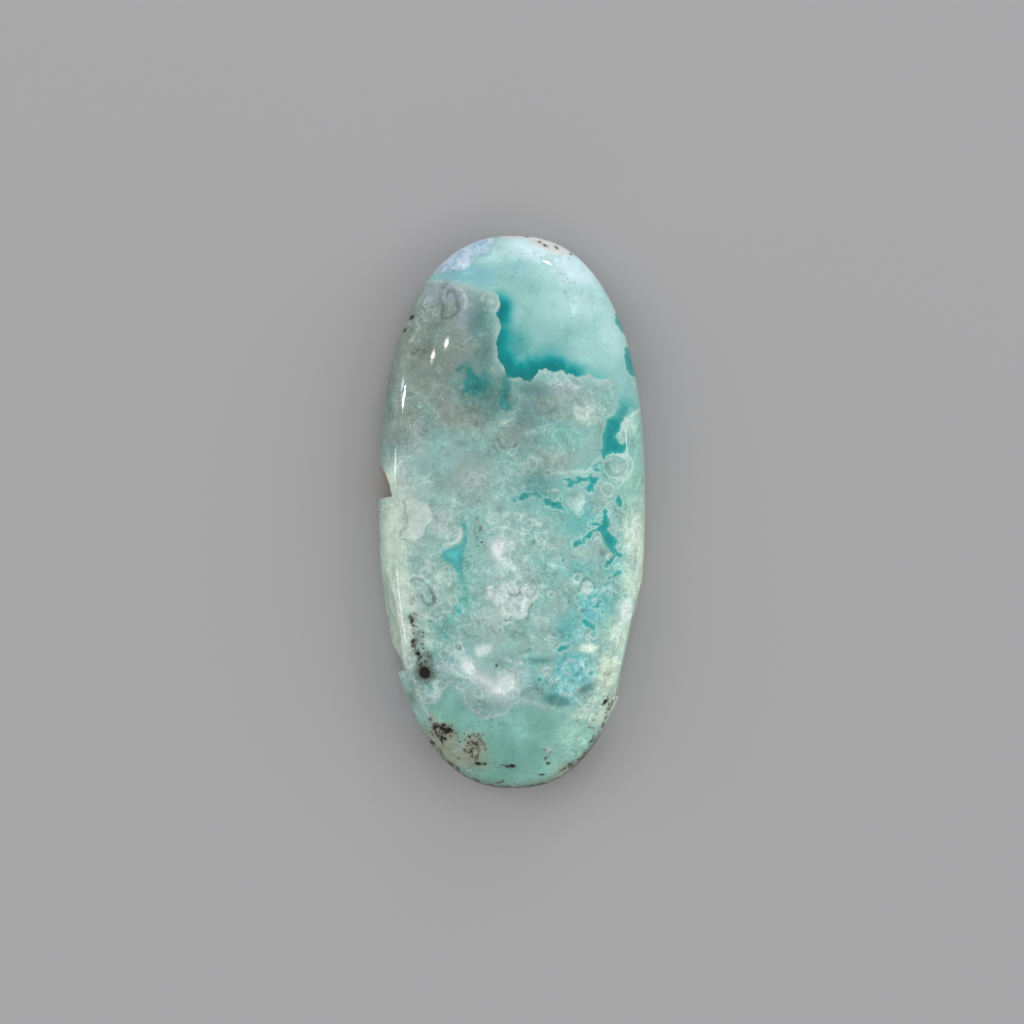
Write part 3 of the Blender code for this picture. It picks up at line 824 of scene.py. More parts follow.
# %% White lines, rings and dark lines
WHITE_LINES = [
    (0.09, [(-2.1, 14.3), (-1.9, 14.7), (-1.2, 14.85), (-0.8, 14.2), (-1.2, 13.6), (-1.9, 13.7)]),
    (0.07, [(-4.2, 15.5), (-3.4, 15.1), (-3.1, 14.4), (-3.2, 13.7)]),
    (0.07, [(-6.5, 13.2), (-6.3, 12.6), (-6.6, 12.0), (-7.0, 11.6)]),
    (0.08, [(-1.3, 9.6), (-0.85, 9.2), (-0.65, 8.5), (-0.75, 7.8), (-1.0, 7.2)]),
    (0.05, [(-1.6, 9.5), (-1.15, 9.1), (-0.95, 8.5), (-1.05, 7.9), (-1.3, 7.4)]),
    (0.08, [(-2.5, 7.2), (-1.9, 7.1), (-1.4, 7.3)]),
    (0.10, [(8.6, 6.9), (8.1, 6.6), (7.7, 6.2), (7.5, 5.6), (7.3, 5.2), (7.6, 4.9)]),
    (0.08, [(4.2, 7.3), (4.3, 6.4), (4.7, 5.9), (5.2, 6.1), (5.3, 6.8), (4.9, 7.3)]),
    (0.07, [(4.6, 7.0), (4.6, 6.5), (4.9, 6.4), (5.0, 6.8)]),
    (0.07, [(1.3, 3.2), (1.5, 3.5), (1.9, 3.6), (2.3, 3.4)]),
    (0.06, [(0.9, 5.2), (1.3, 5.4), (1.8, 5.2)]),
    (0.07, [(-0.3, 4.0), (0.4, 3.6), (1.0, 2.9)]),
    (0.08, [(5.8, 3.6), (6.2, 3.3), (6.9, 3.8), (7.8, 3.9), (8.3, 3.3), (8.0, 2.4), (7.2, 2.2)]),
    (0.07, [(3.0, 2.6), (3.6, 2.7), (4.2, 2.8), (5.0, 2.7), (5.6, 3.3)]),
    (0.07, [(0.0, 1.5), (0.9, 1.7), (1.6, 1.8), (2.4, 1.3), (3.2, 1.5)]),
    (0.09, [(0.1, -2.2), (-0.2, -3.0), (0.0, -3.7), (0.3, -4.3), (0.6, -4.8)]),
    (0.07, [(-1.6, -1.4), (-1.0, -1.0), (-0.2, -1.1), (0.4, -1.6), (0.9, -1.4)]),
    (0.06, [(0.5, -1.9), (1.0, -2.3), (1.0, -3.0), (0.7, -3.4)]),
    (0.09, [(-0.3, -6.7), (0.2, -7.1), (0.8, -6.8), (1.1, -6.2), (1.8, -5.6), (1.5, -4.9)]),
    (0.07, [(-1.8, -5.7), (-1.0, -5.8), (-0.6, -6.2), (-0.4, -6.8)]),
    (0.10, [(3.4, -10.6), (3.8, -11.1), (4.5, -11.2), (4.9, -10.6), (4.7, -10.0), (3.9, -9.9),
            (3.4, -10.6)]),
    (0.06, [(3.8, -10.6), (4.1, -10.9), (4.5, -10.6), (4.3, -10.2), (3.9, -10.3), (3.8, -10.6)]),
    (0.06, [(5.0, -10.2), (5.2, -10.6), (5.0, -11.0)]),
    (0.07, [*CLUSTER, CLUSTER[0]]), (0.03, [*LOW_OVAL, LOW_OVAL[0]]),
    (0.05, [*LOW_BAND[3:8]]), (0.03, [*LEFT_OVAL[:9]]), (0.05, [*PALE_CORNER[2:6]]),
    (0.09, [(-6.1, -3.8), (-5.7, -3.5), (-5.2, -3.6)]),
    (0.09, [(-6.6, -6.95), (-6.1, -7.1), (-5.6, -7.0), (-5.2, -7.2)]),
    (0.08, [(-7.0, -4.6), (-6.6, -4.3), (-6.0, -4.4), (-5.2, -5.0), (-4.9, -6.0), (-5.4, -6.7)]),
    (0.10, [(-6.7, -11.4), (-6.5, -11.9), (-6.2, -12.5), (-6.0, -12.9), (-5.6, -12.4),
            (-5.2, -12.4), (-5.0, -12.0), (-5.4, -11.5), (-4.9, -11.4)]),
    (0.08, [(-6.6, -9.8), (-6.6, -10.2), (-7.0, -10.6)]),
    (0.07, [(-0.5, -10.8), (-0.1, -11.0), (0.4, -11.0), (0.5, -11.6), (0.4, -12.3)]),
    (0.06, [(-4.2, -10.6), (-3.6, -11.0), (-2.8, -11.2), (-2.2, -11.9), (-1.6, -12.1)]),
    (0.07, [(-3.6, -0.9), (-3.4, -1.4), (-3.9, -2.0), (-4.6, -2.2)]),
    (0.07, [(-8.4, -5.0), (-8.1, -7.5), (-7.9, -9.0), (-7.6, -10.0), (-7.2, -10.9)]),
    (0.06, [(2.6, -8.2), (2.2, -8.6), (1.6, -8.6), (1.2, -8.2)]),
    (0.06, [(-4.6, -8.6), (-4.0, -8.4), (-3.4, -8.8), (-3.2, -9.4), (-3.8, -9.8)]),
    (0.06, [(6.0, -5.4), (6.6, -5.0), (7.0, -5.4)]),
    (0.07, [(2.7, -13.2), (3.3, -12.2), (4.2, -12.4), (4.6, -13.0)]),
]
RINGS = [
    (-1.6, -0.35, 0.16, 0.14), (-1.0, -0.1, 0.15, 0.13), (-0.4, -0.05, 0.17, 0.12), (0.2, -0.1, 0.13, 0.12),
    (0.75, -0.25, 0.16, 0.13), (1.3, -0.45, 0.13, 0.12), (1.8, -0.8, 0.15, 0.14), (2.3, -1.3, 0.14, 0.13),
    (2.0, -2.0, 0.2, 0.16), (2.6, -2.3, 0.16, 0.2), (1.6, -2.4, 0.14, 0.12), (-5.0, -4.4, 0.2, 0.16),
    (-5.6, -3.9, 0.16, 0.14), (-4.9, -9.0, 0.18, 0.2), (-3.2, -9.9, 0.16, 0.14), (3.6, -10.9, 0.15, 0.15),
    (5.3, 1.3, 0.14, 0.12), (4.9, 6.5, 0.22, 0.34), (5.6, 6.2, 0.14, 0.2), (4.3, 6.9, 0.16, 0.14),
    (6.7, -2.95, 0.26, 0.22), (5.6, -6.0, 0.16, 0.14), (-6.3, -12.6, 0.2, 0.24), (-0.3, -12.9, 0.2, 0.14),
    (-4.4, -3.95, 0.27, 0.27), (-3.95, -4.35, 0.22, 0.28), (-4.0, -5.9, 0.28, 0.27),
    (-3.3, -5.5, 0.17, 0.14), (-6.7, -5.85, 0.22, 0.28), (-1.3, -0.4, 0.42, 0.38),
    (-1.3, -13.75, 0.22, 0.16), (4.45, -4.35, 0.28, 0.28), (8.0, -0.9, 0.30, 0.30),
    (8.4, -2.6, 0.3, 0.3), (-3.6, -9.1, 0.35, 0.35), (-4.5, -9.6, 0.35, 0.25),
    (2.65, -5.5, 0.26, 0.22), (2.3, -10.6, 0.3, 0.2), (7.0, 3.15, 0.85, 0.80), (2.4, 2.6, 0.3, 0.24),
    (6.5, 1.5, 0.45, 0.5), (-0.85, -7.9, 0.25, 0.2), (1.4, 3.3, 0.3, 0.4), (-2.3, -12.2, 0.25, 0.35),
]
outside_rings = np.array([(oval_reach(*ring) - 1) * min(ring[2:4]) for ring in RINGS])
nearest_ring = np.argmin(np.abs(outside_rings), axis=0)
keep("ring", np.clip(outside_rings[nearest_ring, np.arange(count)], -1, 3))
keep("lace", strand_depth(WHITE_LINES))
DARK_LINES = [
    (0.08, [(-4.95, 14.45), (-4.7, 14.1), (-4.65, 13.6), (-4.8, 13.3), (-4.6, 13.05),
            (-4.1, 13.0), (-3.75, 13.4), (-3.55, 13.6), (-3.7, 14.5), (-3.9, 15.0),
            (-4.25, 15.05), (-4.35, 14.6)]),
    (0.03, [(-7.4, 0.75), (-7.1, 0.4), (-7.25, 0.0), (-7.0, -0.3), (-7.05, -0.7), (-6.9, -1.05),
            (-7.3, -1.2), (-7.55, -1.4), (-7.6, -1.75), (-7.1, -2.0), (-6.55, -2.2)]),
    (0.03, [(-5.6, 0.55), (-5.3, 0.3), (-5.35, 0.0), (-5.2, -0.3), (-5.35, -0.65), (-5.6, -0.8),
            (-5.9, -1.25), (-5.85, -1.5), (-6.0, -1.75), (-6.4, -2.0)]),
    (0.06, [(-6.85, -4.75), (-6.6, -4.5), (-6.1, -4.6), (-5.6, -5.0), (-5.25, -5.6),
            (-5.2, -6.1), (-5.5, -6.3), (-5.85, -6.1), (-6.0, -5.6)]),
    (0.05, [(-0.2, -5.45), (0.1, -5.7), (0.45, -5.65), (0.6, -5.35)]),
    (0.05, [(-0.55, -6.05), (-0.25, -6.35), (-0.3, -6.65)]), (0.04, [(0.35, -6.2), (0.6, -6.45)]),
    (0.05, [(4.45, -5.1), (4.65, -4.6), (5.0, -4.4), (5.4, -4.6), (5.55, -5.1)]),
    (0.04, [(1.72, -5.0), (1.6, -5.6), (1.25, -5.8), (1.35, -6.3), (1.05, -6.5), (1.1, -7.0),
            (0.5, -7.25), (0.0, -7.05), (-0.45, -7.25)]),
    (0.05, [(-6.9, -5.7), (-6.6, -5.6), (-6.5, -6.0), (-6.8, -6.2), (-6.9, -5.8)]),
    (0.04, [(-2.4, 6.0), (-1.6, 6.4), (-1.0, 5.6)]), (0.05, [(-3.8, 9.6), (-3.4, 9.85)]),
    (0.05, [(-0.5, -10.6), (0.1, -10.8), (0.4, -11.2), (0.6, -11.5)]),
    (0.05, [(0.5, -9.4), (1.2, -9.3)]),
    (0.05, [(-3.3, -7.9), (-2.9, -8.3), (-2.3, -8.4)]), (0.04, [(4.7, 15.35), (4.9, 15.05)]),
]
keep("dark_line", strand_depth(DARK_LINES))

# %% [markdown]
# ### Host rock
# A little of the rock that the turquoise grew in is left: specks of black iron and manganese
# oxide, speckled grey-brown patches near the lower end, and a pinkish white band on the top rim.

# %% Specks and speckled patches
BLACK_SPECKS = [
    (-5.93, -10.88, 0.37, 0.46, 12), (-6.35, -9.6, 0.13, 0.12), (-6.75, -8.8, 0.10, 0.12),
    (-6.7, -8.2, 0.07, 0.11), (-6.8, -7.4, 0.06, 0.16), (-5.4, -7.3, 0.08, 0.06),
    (-4.6, -14.75, 0.40, 0.13, -25), (-5.2, -14.6, 0.20, 0.12), (-4.6, -14.4, 0.12, 0.09),
    (-4.2, -14.7, 0.30, 0.06, -35), (-4.5, -15.0, 0.24, 0.10), (-4.75, -15.5, 0.07, 0.32),
    (-2.3, -17.1, 0.22, 0.12), (-1.85, -17.1, 0.10, 0.10), (-3.6, -16.7, 0.07, 0.07),
    (-0.3, -17.35, 0.15, 0.09), (0.02, -17.3, 0.22, 0.13), (-0.9, -18.5, 0.11, 0.05),
    (-0.65, -18.4, 0.07, 0.06), (-5.6, -14.1, 0.07, 0.07), (6.37, -12.92, 0.11, 0.18, -20),
    (5.4, -14.7, 0.07, 0.07), (7.25, -12.3, 0.09, 0.13, -30), (2.45, -17.0, 0.11, 0.08),
    (2.0, -17.9, 0.12, 0.06), (-5.45, -15.8, 0.14, 0.09, -45), (-4.25, -17.15, 0.12, 0.07, -35),
    (4.8, -16.85, 0.20, 0.09, 35), (4.1, -17.4, 0.20, 0.06, 25), (3.95, -17.2, 0.07, 0.07),
    (4.7, -6.57, 0.09, 0.07), (-1.0, -10.35, 0.08, 0.08), (-6.85, 13.3, 0.12, 0.15, -30),
    (-7.3, 12.45, 0.10, 0.14, -20), (1.0, 18.85, 0.09, 0.06), (1.9, 18.35, 0.10, 0.07, -20),
    (2.3, 18.1, 0.12, 0.06, -30), (3.0, 18.1, 0.09, 0.06, -30), (4.0, 17.65, 0.08, 0.05, -35),
    (2.95, -8.95, 0.08, 0.07), (-0.2, 4.5, 0.05, 0.04), (0.4, 4.6, 0.04, 0.05),
    (-0.6, 4.2, 0.05, 0.05), (-6.3, 11.0, 0.08, 0.05), (-6.6, 10.8, 0.06, 0.06),
    (0.45, -7.62, 0.05, 0.05), (0.8, -7.66, 0.05, 0.04),
]
DUST_PATCHES = [
    (40, -2.6, -15.9, 0.80, 1.0, 0.055), (30, -4.7, -15.0, 0.80, 0.65, 0.065),
    (10, -2.3, -1.4, 0.4, 0.8, 0.035), (12, -6.4, -8.6, 0.5, 1.2, 0.055),
    (6, -0.2, 4.4, 0.5, 0.3, 0.03),
    (6, -6.4, 10.9, 0.6, 0.3, 0.03), (8, -5.9, -10.0, 0.6, 0.5, 0.05),
    (5, 6.6, -12.6, 0.5, 0.5, 0.04), (5, 2.4, -16.4, 0.4, 0.5, 0.035),
]
picker = np.random.default_rng(11)
for dots, x, y, across, along, size in DUST_PATCHES:
    for _ in range(dots):
        turn, reach = picker.uniform(0, 2 * math.pi), math.sqrt(picker.uniform())
        radius = size * picker.uniform(0.6, 1.4)
        BLACK_SPECKS.append((
            x + across * reach * math.cos(turn), y + along * reach * math.sin(turn), radius, radius,
        ))
print("specks:", len(BLACK_SPECKS))
BROWN_SEAMS = [
    (0.05, [(-6.9, -7.0), (-6.5, -6.9), (-6.0, -7.1)]),
    (0.07, [(-6.9, -7.1), (-6.7, -7.5), (-6.85, -8.2), (-6.7, -8.9), (-6.4, -9.6), (-6.1, -10.3)]),
    (0.06, [(-6.3, -10.0), (-5.9, -10.2), (-5.5, -10.0), (-5.2, -10.4)]),
    (0.12, [(-5.3, -14.5), (-4.8, -14.4), (-4.3, -14.7), (-4.0, -15.0)]),
    (0.09, [(7.3, -12.0), (6.75, -13.2), (6.15, -14.5), (5.55, -15.5), (4.85, -16.6),
            (3.9, -17.35), (3.0, -17.9)]),
    (0.05, [(-5.7, -15.5), (-4.9, -16.5), (-4.3, -17.15), (-3.2, -17.95)]),
    (0.05, [(-0.7, -17.3), (0.3, -17.3)]),
]
keep("brown", strand_depth(BROWN_SEAMS))
keep("black", spot_depth(BLACK_SPECKS))
keep("speckled", soft_patches([
    (1.0, -4.8, -15.5, 1.1, 1.2), (1.0, -2.6, -16.1, 0.9, 1.2), (1.0, -3.6, -16.7, 1.7, 1.0),
    (0.6, -5.4, -14.2, 0.5, 0.6), (0.6, -2.0, -17.3, 0.8, 0.5), (0.5, 2.4, -16.3, 0.5, 0.6),
    (0.5, 6.6, -12.8, 0.4, 0.6), (0.35, 5.6, -14.8, 0.5, 0.5), (0.5, -6.2, -8.4, 0.35, 1.1),
    (0.5, -5.7, -10.1, 0.6, 0.5), (0.3, -2.2, -0.9, 0.3, 1.0, 18),
    (0.6, 3.6, -17.4, 1.0, 0.5), (0.25, -6.3, 10.9, 0.7, 0.4),
]))
keep("dotted", soft_patches([
    (1.1, -2.7, -15.8, 0.8, 1.0), (1.1, -4.7, -15.0, 0.9, 0.6), (0.7, -6.5, -8.4, 0.3, 1.3),
    (0.6, -5.8, -9.9, 0.7, 0.6), (0.4, -2.3, -1.4, 0.35, 1.0, 18), (0.35, -0.2, 4.4, 0.6, 0.35),
    (0.35, -6.4, 10.9, 0.7, 0.3), (0.5, 6.4, -12.8, 0.5, 0.6), (0.35, 2.4, -16.5, 0.5, 0.6),
    (0.45, 5.8, -14.6, 0.6, 0.6), (0.4, -3.6, -16.8, 1.0, 0.6), (0.35, 3.0, 18.0, 1.4, 0.4, -25),
]))
keep("pinkish", soft_patches([
    (1.0, 0.6, 18.9, 1.9, 0.35, -4), (1.3, 2.4, 18.35, 1.3, 0.60, -22), (0.9, 3.6, 17.9, 0.9, 0.3, -35),
    (0.4, 2.5, -16.2, 0.5, 0.6),
    (0.4, -1.35, 15.5, 0.3, 0.25), (0.6, -1.5, 14.2, 0.45, 0.45),
]))
LAVENDER_STREAK = [
    (-4.8, 16.35), (-3.5, 16.35), (-2.9, 16.75), (-2.4, 17.35), (-1.6, 17.65), (-1.2, 18.2),
    (-1.1, 19.4), (-4.0, 19.4), (-8.0, 16.8), (-5.6, 16.3),
]
keep("streak", area_depth(LAVENDER_STREAK))

# %% [markdown]
# ### Edges and broken faces
# The rim has its own colours: a brown line at the lower end, cream on the right, and a darker
# left side that is painted shade. They follow the girdle, so they read how far out a point lies.
# A point lies on a chip's face when it lies on the surface of the cutter that made the chip.

# %% Rim and chips
keep("rim", outward)
turned = np.degrees(np.arctan2(points[:, 0] / 9.15, (points[:, 1] - 1.0) / ends))


def smooth_rise(values, low, high):
    share = np.clip((values - low) / (high - low), 0, 1)
    return share * share * (3 - 2 * share)


keep("low_end", smooth_rise(np.abs(turned), 128, 150))
keep("right_side", 1 - smooth_rise(np.abs(turned - 112), 0, 42))
keep("left_shade_side", 1 - smooth_rise(np.abs(turned + 70), 0, 55))
keep("lower_chips", smooth_rise(np.abs(turned), 98, 104))
SEAT = 0.012  # how far off a cutter's surface a point still counts as on it
chip_cover = np.zeros(count)
for chip in CHIPS.values():
    turn = Euler((0.0, math.radians(chip["tilt"]), math.radians(chip["turn"]))).to_matrix()
    seen_from_chip = (points * MM - np.array(chip["flat_end"])) @ np.array(turn)
    reach = np.linalg.norm(seen_from_chip / np.array(chip["half_size"]), axis=1)
    on_chip = np.clip((1.0 + SEAT - reach) / SEAT, 0, 1) * (seen_from_chip[:, 1] > -0.02 * MM)
    chip_cover = np.maximum(chip_cover, on_chip)
keep("broken", chip_cover)
keep("underside", np.clip(depth / 4.0, 0, 1))

# %% [markdown]
# ## The material
# The polish is glassy, and a little light goes into the stone before it comes back, so the
# base is a Principled shader with a low roughness and a trace of subsurface scattering. Its
# colour is built up like paint, one layer over the last: grey-green chalcedony first, then
# the clouds, the lace, the pools, the teal, and last the dark specks. Every layer is a colour
# and a share between 0 and 1. The helpers below read a stored mark, make noise in millimetres
# and mix one layer over the colours so far.

# %% Tools for the layers
turquoise.use_nodes = True
paint = turquoise.node_tree
shader = paint.nodes["Principled BSDF"]
texture_place = paint.nodes.new("ShaderNodeTexCoord").outputs["Object"]


def vector_math(operation, first, second):
    node = paint.nodes.new("ShaderNodeVectorMath")
    node.operation = operation
    feed(paint, node.inputs[0], first)
    feed(paint, node.inputs["Scale"] if operation == "SCALE" else node.inputs[1], second)
    return node.outputs[0]


def mark(name):
    """A stored mark of the stone."""
    node = paint.nodes.new("ShaderNodeAttribute")
    node.attribute_name = name
    return Amount(paint, node.outputs["Fac"])


def noise_node(per_mm, detail, roughness, place):
    node = paint.nodes.new("ShaderNodeTexNoise")
    feed(paint, node.inputs["Vector"], place)
    node.inputs["Scale"].default_value = per_mm / MM
    node.inputs["Detail"].default_value = detail
    node.inputs["Roughness"].default_value = roughness
    return node


def pushed(per_mm, reach):
    """The places of the points, each pushed aside by coarse noise, by up to half the reach."""
    push = noise_node(per_mm, 3.0, 0.6, texture_place)
    centred = vector_math("SUBTRACT", push.outputs["Color"], (0.5, 0.5, 0.5))
    return vector_math("ADD", texture_place, vector_math("SCALE", centred, reach * MM))


ruffled = pushed(1.6, 0.5)


def grain(per_mm, detail=3.0, roughness=0.55, place=ruffled):
    """Noise between about -1 and 1, with so many features to the millimetre."""
    node = noise_node(per_mm, detail, roughness, place)
    return (Amount(paint, node.outputs[0]) - 0.5) * 2.6


def ramp_share(value, low, high):
    """0 below low, 1 above high, and a smooth rise between them."""
    node = paint.nodes.new("ShaderNodeMapRange")
    node.interpolation_type = "SMOOTHSTEP"
    feed(paint, node.inputs["Value"], value)
    node.inputs["From Min"].default_value = low
    node.inputs["From Max"].default_value = high
    return Amount(paint, node.outputs[0])


def near_level(value, level, width):
    """1 where the value is at the level, falling to 0 at width on either side."""
    return 1.0 - ramp_share((value - level).size(), 0.0, width)


def tone(red, green, blue):
    """A colour as a screen shows it, 0 to 255, made linear for the shader."""
    linear = []
    for part in (red, green, blue):
        part /= 255
        linear.append(part / 12.92 if part <= 0.04045 else ((part + 0.055) / 1.055) ** 2.4)
    return (*linear, 1.0)


def over(under, layer, share):
    """Lays a colour over the colours so far."""
    node = paint.nodes.new("ShaderNodeMix")
    node.data_type = "RGBA"
    feed(paint, node.inputs["Factor"], share)
    colour_slots = [slot for slot in node.inputs if slot.type == "RGBA"]
    feed(paint, colour_slots[0], under)
    feed(paint, colour_slots[1], layer)
    return next(slot for slot in node.outputs if slot.type == "RGBA")


# %% [markdown]
# ### Noise that the layers share
# A mark's edge frays when fine noise is added to its distance. Chalcedony is cloudy: soft noise
# at several sizes, read at places that coarse noise has pushed aside, gives its clouds. It also
# grows in thin shells that are sharp on one side and fade on the other. The level lines of a
# slow noise have that shape when a curve of uneven saw teeth turns the level into lightness.

# %% Shared noise
swirled = pushed(0.5, 2.4)
cloudy = grain(0.32, detail=2.0, place=swirled)
mottle = grain(0.9, detail=1.5, place=swirled)
middling = grain(1.9, detail=1.5, place=swirled)
fine = grain(3.6, detail=4.0, roughness=0.6)
dust = grain(9.0, detail=2.0, roughness=0.6)
every_size = grain(0.7, detail=4.0, roughness=0.9, place=texture_place)
frayed = fine * 0.10 + mottle * 0.05
patchy = ramp_share(grain(0.8, detail=2.0, place=swirled), -0.5, 0.9) * 1.5 + 0.2
TEETH = [(0.14, 0.64), (0.30, 0.78), (0.41, 0.60), (0.55, 0.84), (0.66, 0.68), (0.83, 0.76), (1.0, 0.6)]
TOOTH_FOOT = 0.40


def shells(level):
    """Lightness of thin shells, -1 to 1, as the level climbs through uneven saw teeth."""
    node = paint.nodes.new("ShaderNodeFloatCurve")
    feed(paint, node.inputs["Value"], level * 0.5 + 0.5)
    curve = node.mapping.curves[0]
    curve.points[0].location = (0.0, TOOTH_FOOT)
    curve.points[-1].location = TEETH[-1]
    for end, height in TEETH[:-1]:
        curve.points.new(end, height)
        curve.points.new(end + 0.012, TOOTH_FOOT)
    for point in curve.points:
        point.handle_type = "VECTOR"
    node.mapping.update()
    return (Amount(paint, node.outputs[0]) - 0.5) * 2.0


banding = shells(grain(0.55, detail=3.0, roughness=0.5, place=swirled))
small_shells = shells(grain(1.3, detail=2.5, roughness=0.5, place=swirled))
print("saw teeth:", len(TEETH))


def lightened(under, change, richness=1.0):
    """The colours so far, lighter or darker by a share, with their hue kept."""
    node = paint.nodes.new("ShaderNodeHueSaturation")
    feed(paint, node.inputs["Color"], under)
    feed(paint, node.inputs["Value"], change + 1.0)
    node.inputs["Saturation"].default_value = richness
    return node.outputs[0]


# %% Chalcedony and its clouds
milkiness = mark("milk")
greyness = (mark("grey") + cloudy * 0.12).clip()
hue = grain(0.45, detail=2.0, roughness=0.5, place=swirled)
colour = over(tone(153, 183, 175), tone(124, 174, 168), ramp_share(hue, -0.6, 0.6))
colour = over(colour, tone(136, 147, 140), ramp_share(greyness, 0.12, 0.70) * 0.9)
colour = over(colour, tone(116, 128, 121), ramp_share(greyness + mottle * 0.2, 0.70, 1.25) * 0.7)
colour = over(colour, tone(150, 162, 170), ramp_share(mark("lavender") + mottle * 0.2, 0.1, 0.9) * 0.9)
colour = over(colour, tone(92, 180, 178), ramp_share(mark("aqua") + mottle * 0.2, 0.15, 1.0) * 0.7)
colour = over(colour, tone(100, 174, 182), ramp_share(mark("blue") + mottle * 0.2, 0.1, 1.0) * 0.75)
colour = over(colour, tone(150, 198, 180), ramp_share(mark("green") + mottle * 0.2, 0.1, 0.9) * 0.8)
colour = over(colour, tone(112, 126, 98), ramp_share(mark("moss") + mottle * 0.2, 0.2, 0.9) * 0.7)
colour = lightened(colour, (dust * 0.12 + fine * 0.10) * greyness)
print("cloud layers laid")

# %% Milk and cream over them
busy = 1.0 - mark("calm").clip() * 0.8
ragged = (mottle * 0.22 + middling * 0.14 + banding * 0.16) * busy
colour = over(colour, tone(184, 198, 202), ramp_share(mark("pearl") + ragged * 0.4, 0.05, 1.0) * 0.75)
milk_share = ramp_share(milkiness + ragged * 0.8, 0.05, 0.95)
colour = over(colour, tone(206, 218, 213), milk_share * 0.85)
colour = over(colour, tone(228, 235, 233), ramp_share(milkiness + ragged * 0.5, 0.50, 1.0) * 0.80)
cream_share = ramp_share(mark("cream") + ragged, 0.10, 1.10)
colour = over(colour, tone(213, 230, 213), cream_share * 0.85)
colour = over(colour, tone(200, 205, 196), ramp_share(mark("chalk") + ragged, 0.10, 1.2) * 0.7)
colour = over(colour, tone(210, 224, 202), ramp_share(mark("warm") + ragged, 0.10, 0.9) * 0.8)
print("milk laid")

# %% Shells and mottling
line_cover = ramp_share(mottle + fine * 0.5, -0.8, 0.6)


def cells(per_mm):
    """How far each point is from the middle of its rounded cell, 0 in the middle."""
    node = paint.nodes.new("ShaderNodeTexVoronoi")
    feed(paint, node.inputs["Vector"], ruffled)
    node.inputs["Scale"].default_value = per_mm / MM
    return Amount(paint, node.outputs["Distance"])


lace_cover = ramp_share(grain(0.47, detail=2.0), -0.6, 0.5)
colour = lightened(colour, (banding * lace_cover * 0.34 + small_shells * 0.24 + mottle * 0.12 + middling * 0.08) * busy)
curls = near_level(grain(1.0, detail=1.0, roughness=0.4, place=swirled), 0.0, 0.08)
small_curls = near_level(grain(2.0, detail=1.0, roughness=0.4, place=swirled), 0.1, 0.12)
colour = over(colour, tone(196, 222, 214), curls * lace_cover * busy * 0.40)
colour = over(colour, tone(194, 220, 212), small_curls * ramp_share(mottle, -0.1, 0.6) * busy * 0.30)
dark_curls = near_level(grain(1.3, detail=1.0, roughness=0.4, place=swirled), -0.15, 0.07)
colour = over(colour, tone(88, 126, 120), dark_curls * ramp_share(mottle * -1.0, -0.2, 0.6) * busy * 0.42)
orbs = cells(1.25)
bubbly = ramp_share(mark("bubbly") + mottle * 0.25, 0.15, 0.75)
colour = over(colour, tone(122, 158, 150), (1.0 - ramp_share(orbs, 0.05, 0.40)) * bubbly * 0.45)
colour = over(colour, tone(206, 224, 216), near_level(orbs, 0.44, 0.10) * bubbly * line_cover * 0.75)
colour = over(colour, tone(196, 216, 208), near_level(orbs, 0.22, 0.07) * bubbly * line_cover * 0.45)

# %% Drawn lines
drawn_white = ramp_share(mark("lace") + middling * 0.05 + fine * 0.04, -0.12, 0.05)
drawn_dark = ramp_share(mark("dark_line") + fine * 0.04, -0.10, 0.02)
drawn_ring = near_level(mark("ring") + fine * 0.07 + middling * 0.05, 0.0, 0.13)
ring_heart = ramp_share(mark("ring") * -1.0, 0.04, 0.14)
colour = over(colour, tone(84, 110, 106), drawn_dark * (line_cover * 0.5 + 0.2))
colour = over(colour, tone(208, 224, 216), drawn_white * line_cover * (0.70 - greyness * 0.25))
colour = over(colour, tone(128, 158, 146), ring_heart * 0.40)
colour = over(colour, tone(206, 224, 214), drawn_ring * (line_cover * 0.5 + 0.15))
print("lace drawn")

# %% [markdown]
# ### Pools
# The pool's own colour changes from pale at the rim to a deeper tint in the middle. On its
# shore the chalcedony carries a thin white band that runs along the distance to the outline,
# and the deep teal lies on the inner side only, fading with the distance from the shore.

# %% Pools and their shores
pool_depth = mark("pool") + frayed * 1.5
soft_shore = mark("blue_wash")
on_pool = ramp_share(pool_depth, -0.04, 0.05) * (1.0 - soft_shore) + ramp_share(pool_depth, -0.6, 0.5) * soft_shore
shore_cover = ramp_share(grain(0.63), -0.9, 0.2)
outer_band = ramp_share(pool_depth, -0.55, -0.02)
colour = over(colour, tone(186, 208, 202), outer_band * shore_cover * 0.55)
pool_colour = over(tone(146, 190, 184), tone(154, 199, 195), ramp_share(cloudy, -0.6, 0.6))
glow = mark("pool_glow") + cloudy * 0.05
pool_colour = over(pool_colour, tone(176, 214, 211), ramp_share(glow, 0.10, 0.55))
pool_colour = over(pool_colour, tone(210, 234, 240), ramp_share(glow, 0.45, 1.0))
flecked = ramp_share(mark("flecks"), 0.1, 0.6)
flecks = ramp_share(grain(1.9, detail=3.0, roughness=0.65), 0.36, 0.75)
pool_colour = over(pool_colour, tone(112, 164, 168), flecks * flecked * 0.75)
cracks = near_level(grain(1.5, detail=3.0, roughness=0.6), -0.1, 0.07) * ramp_share(middling, -0.2, 0.4)
pool_colour = over(pool_colour, tone(104, 158, 168), cracks * flecked * 0.6)
shore_teal = mark("shore_teal") + mottle * 0.06
near_shore = 1.0 - ramp_share(mark("pool") + mottle * 0.30 + middling * 0.08 - shore_teal * 0.5, -0.3, 1.7)
teal_share = (shore_teal * 1.2).clip() * near_shore
pool_colour = over(pool_colour, tone(92, 176, 174), ramp_share(teal_share, 0.0, 0.45))
pool_colour = over(pool_colour, tone(36, 144, 144), ramp_share(teal_share, 0.22, 0.75))
pool_colour = over(pool_colour, tone(8, 120, 122), ramp_share(teal_share, 0.55, 1.05))
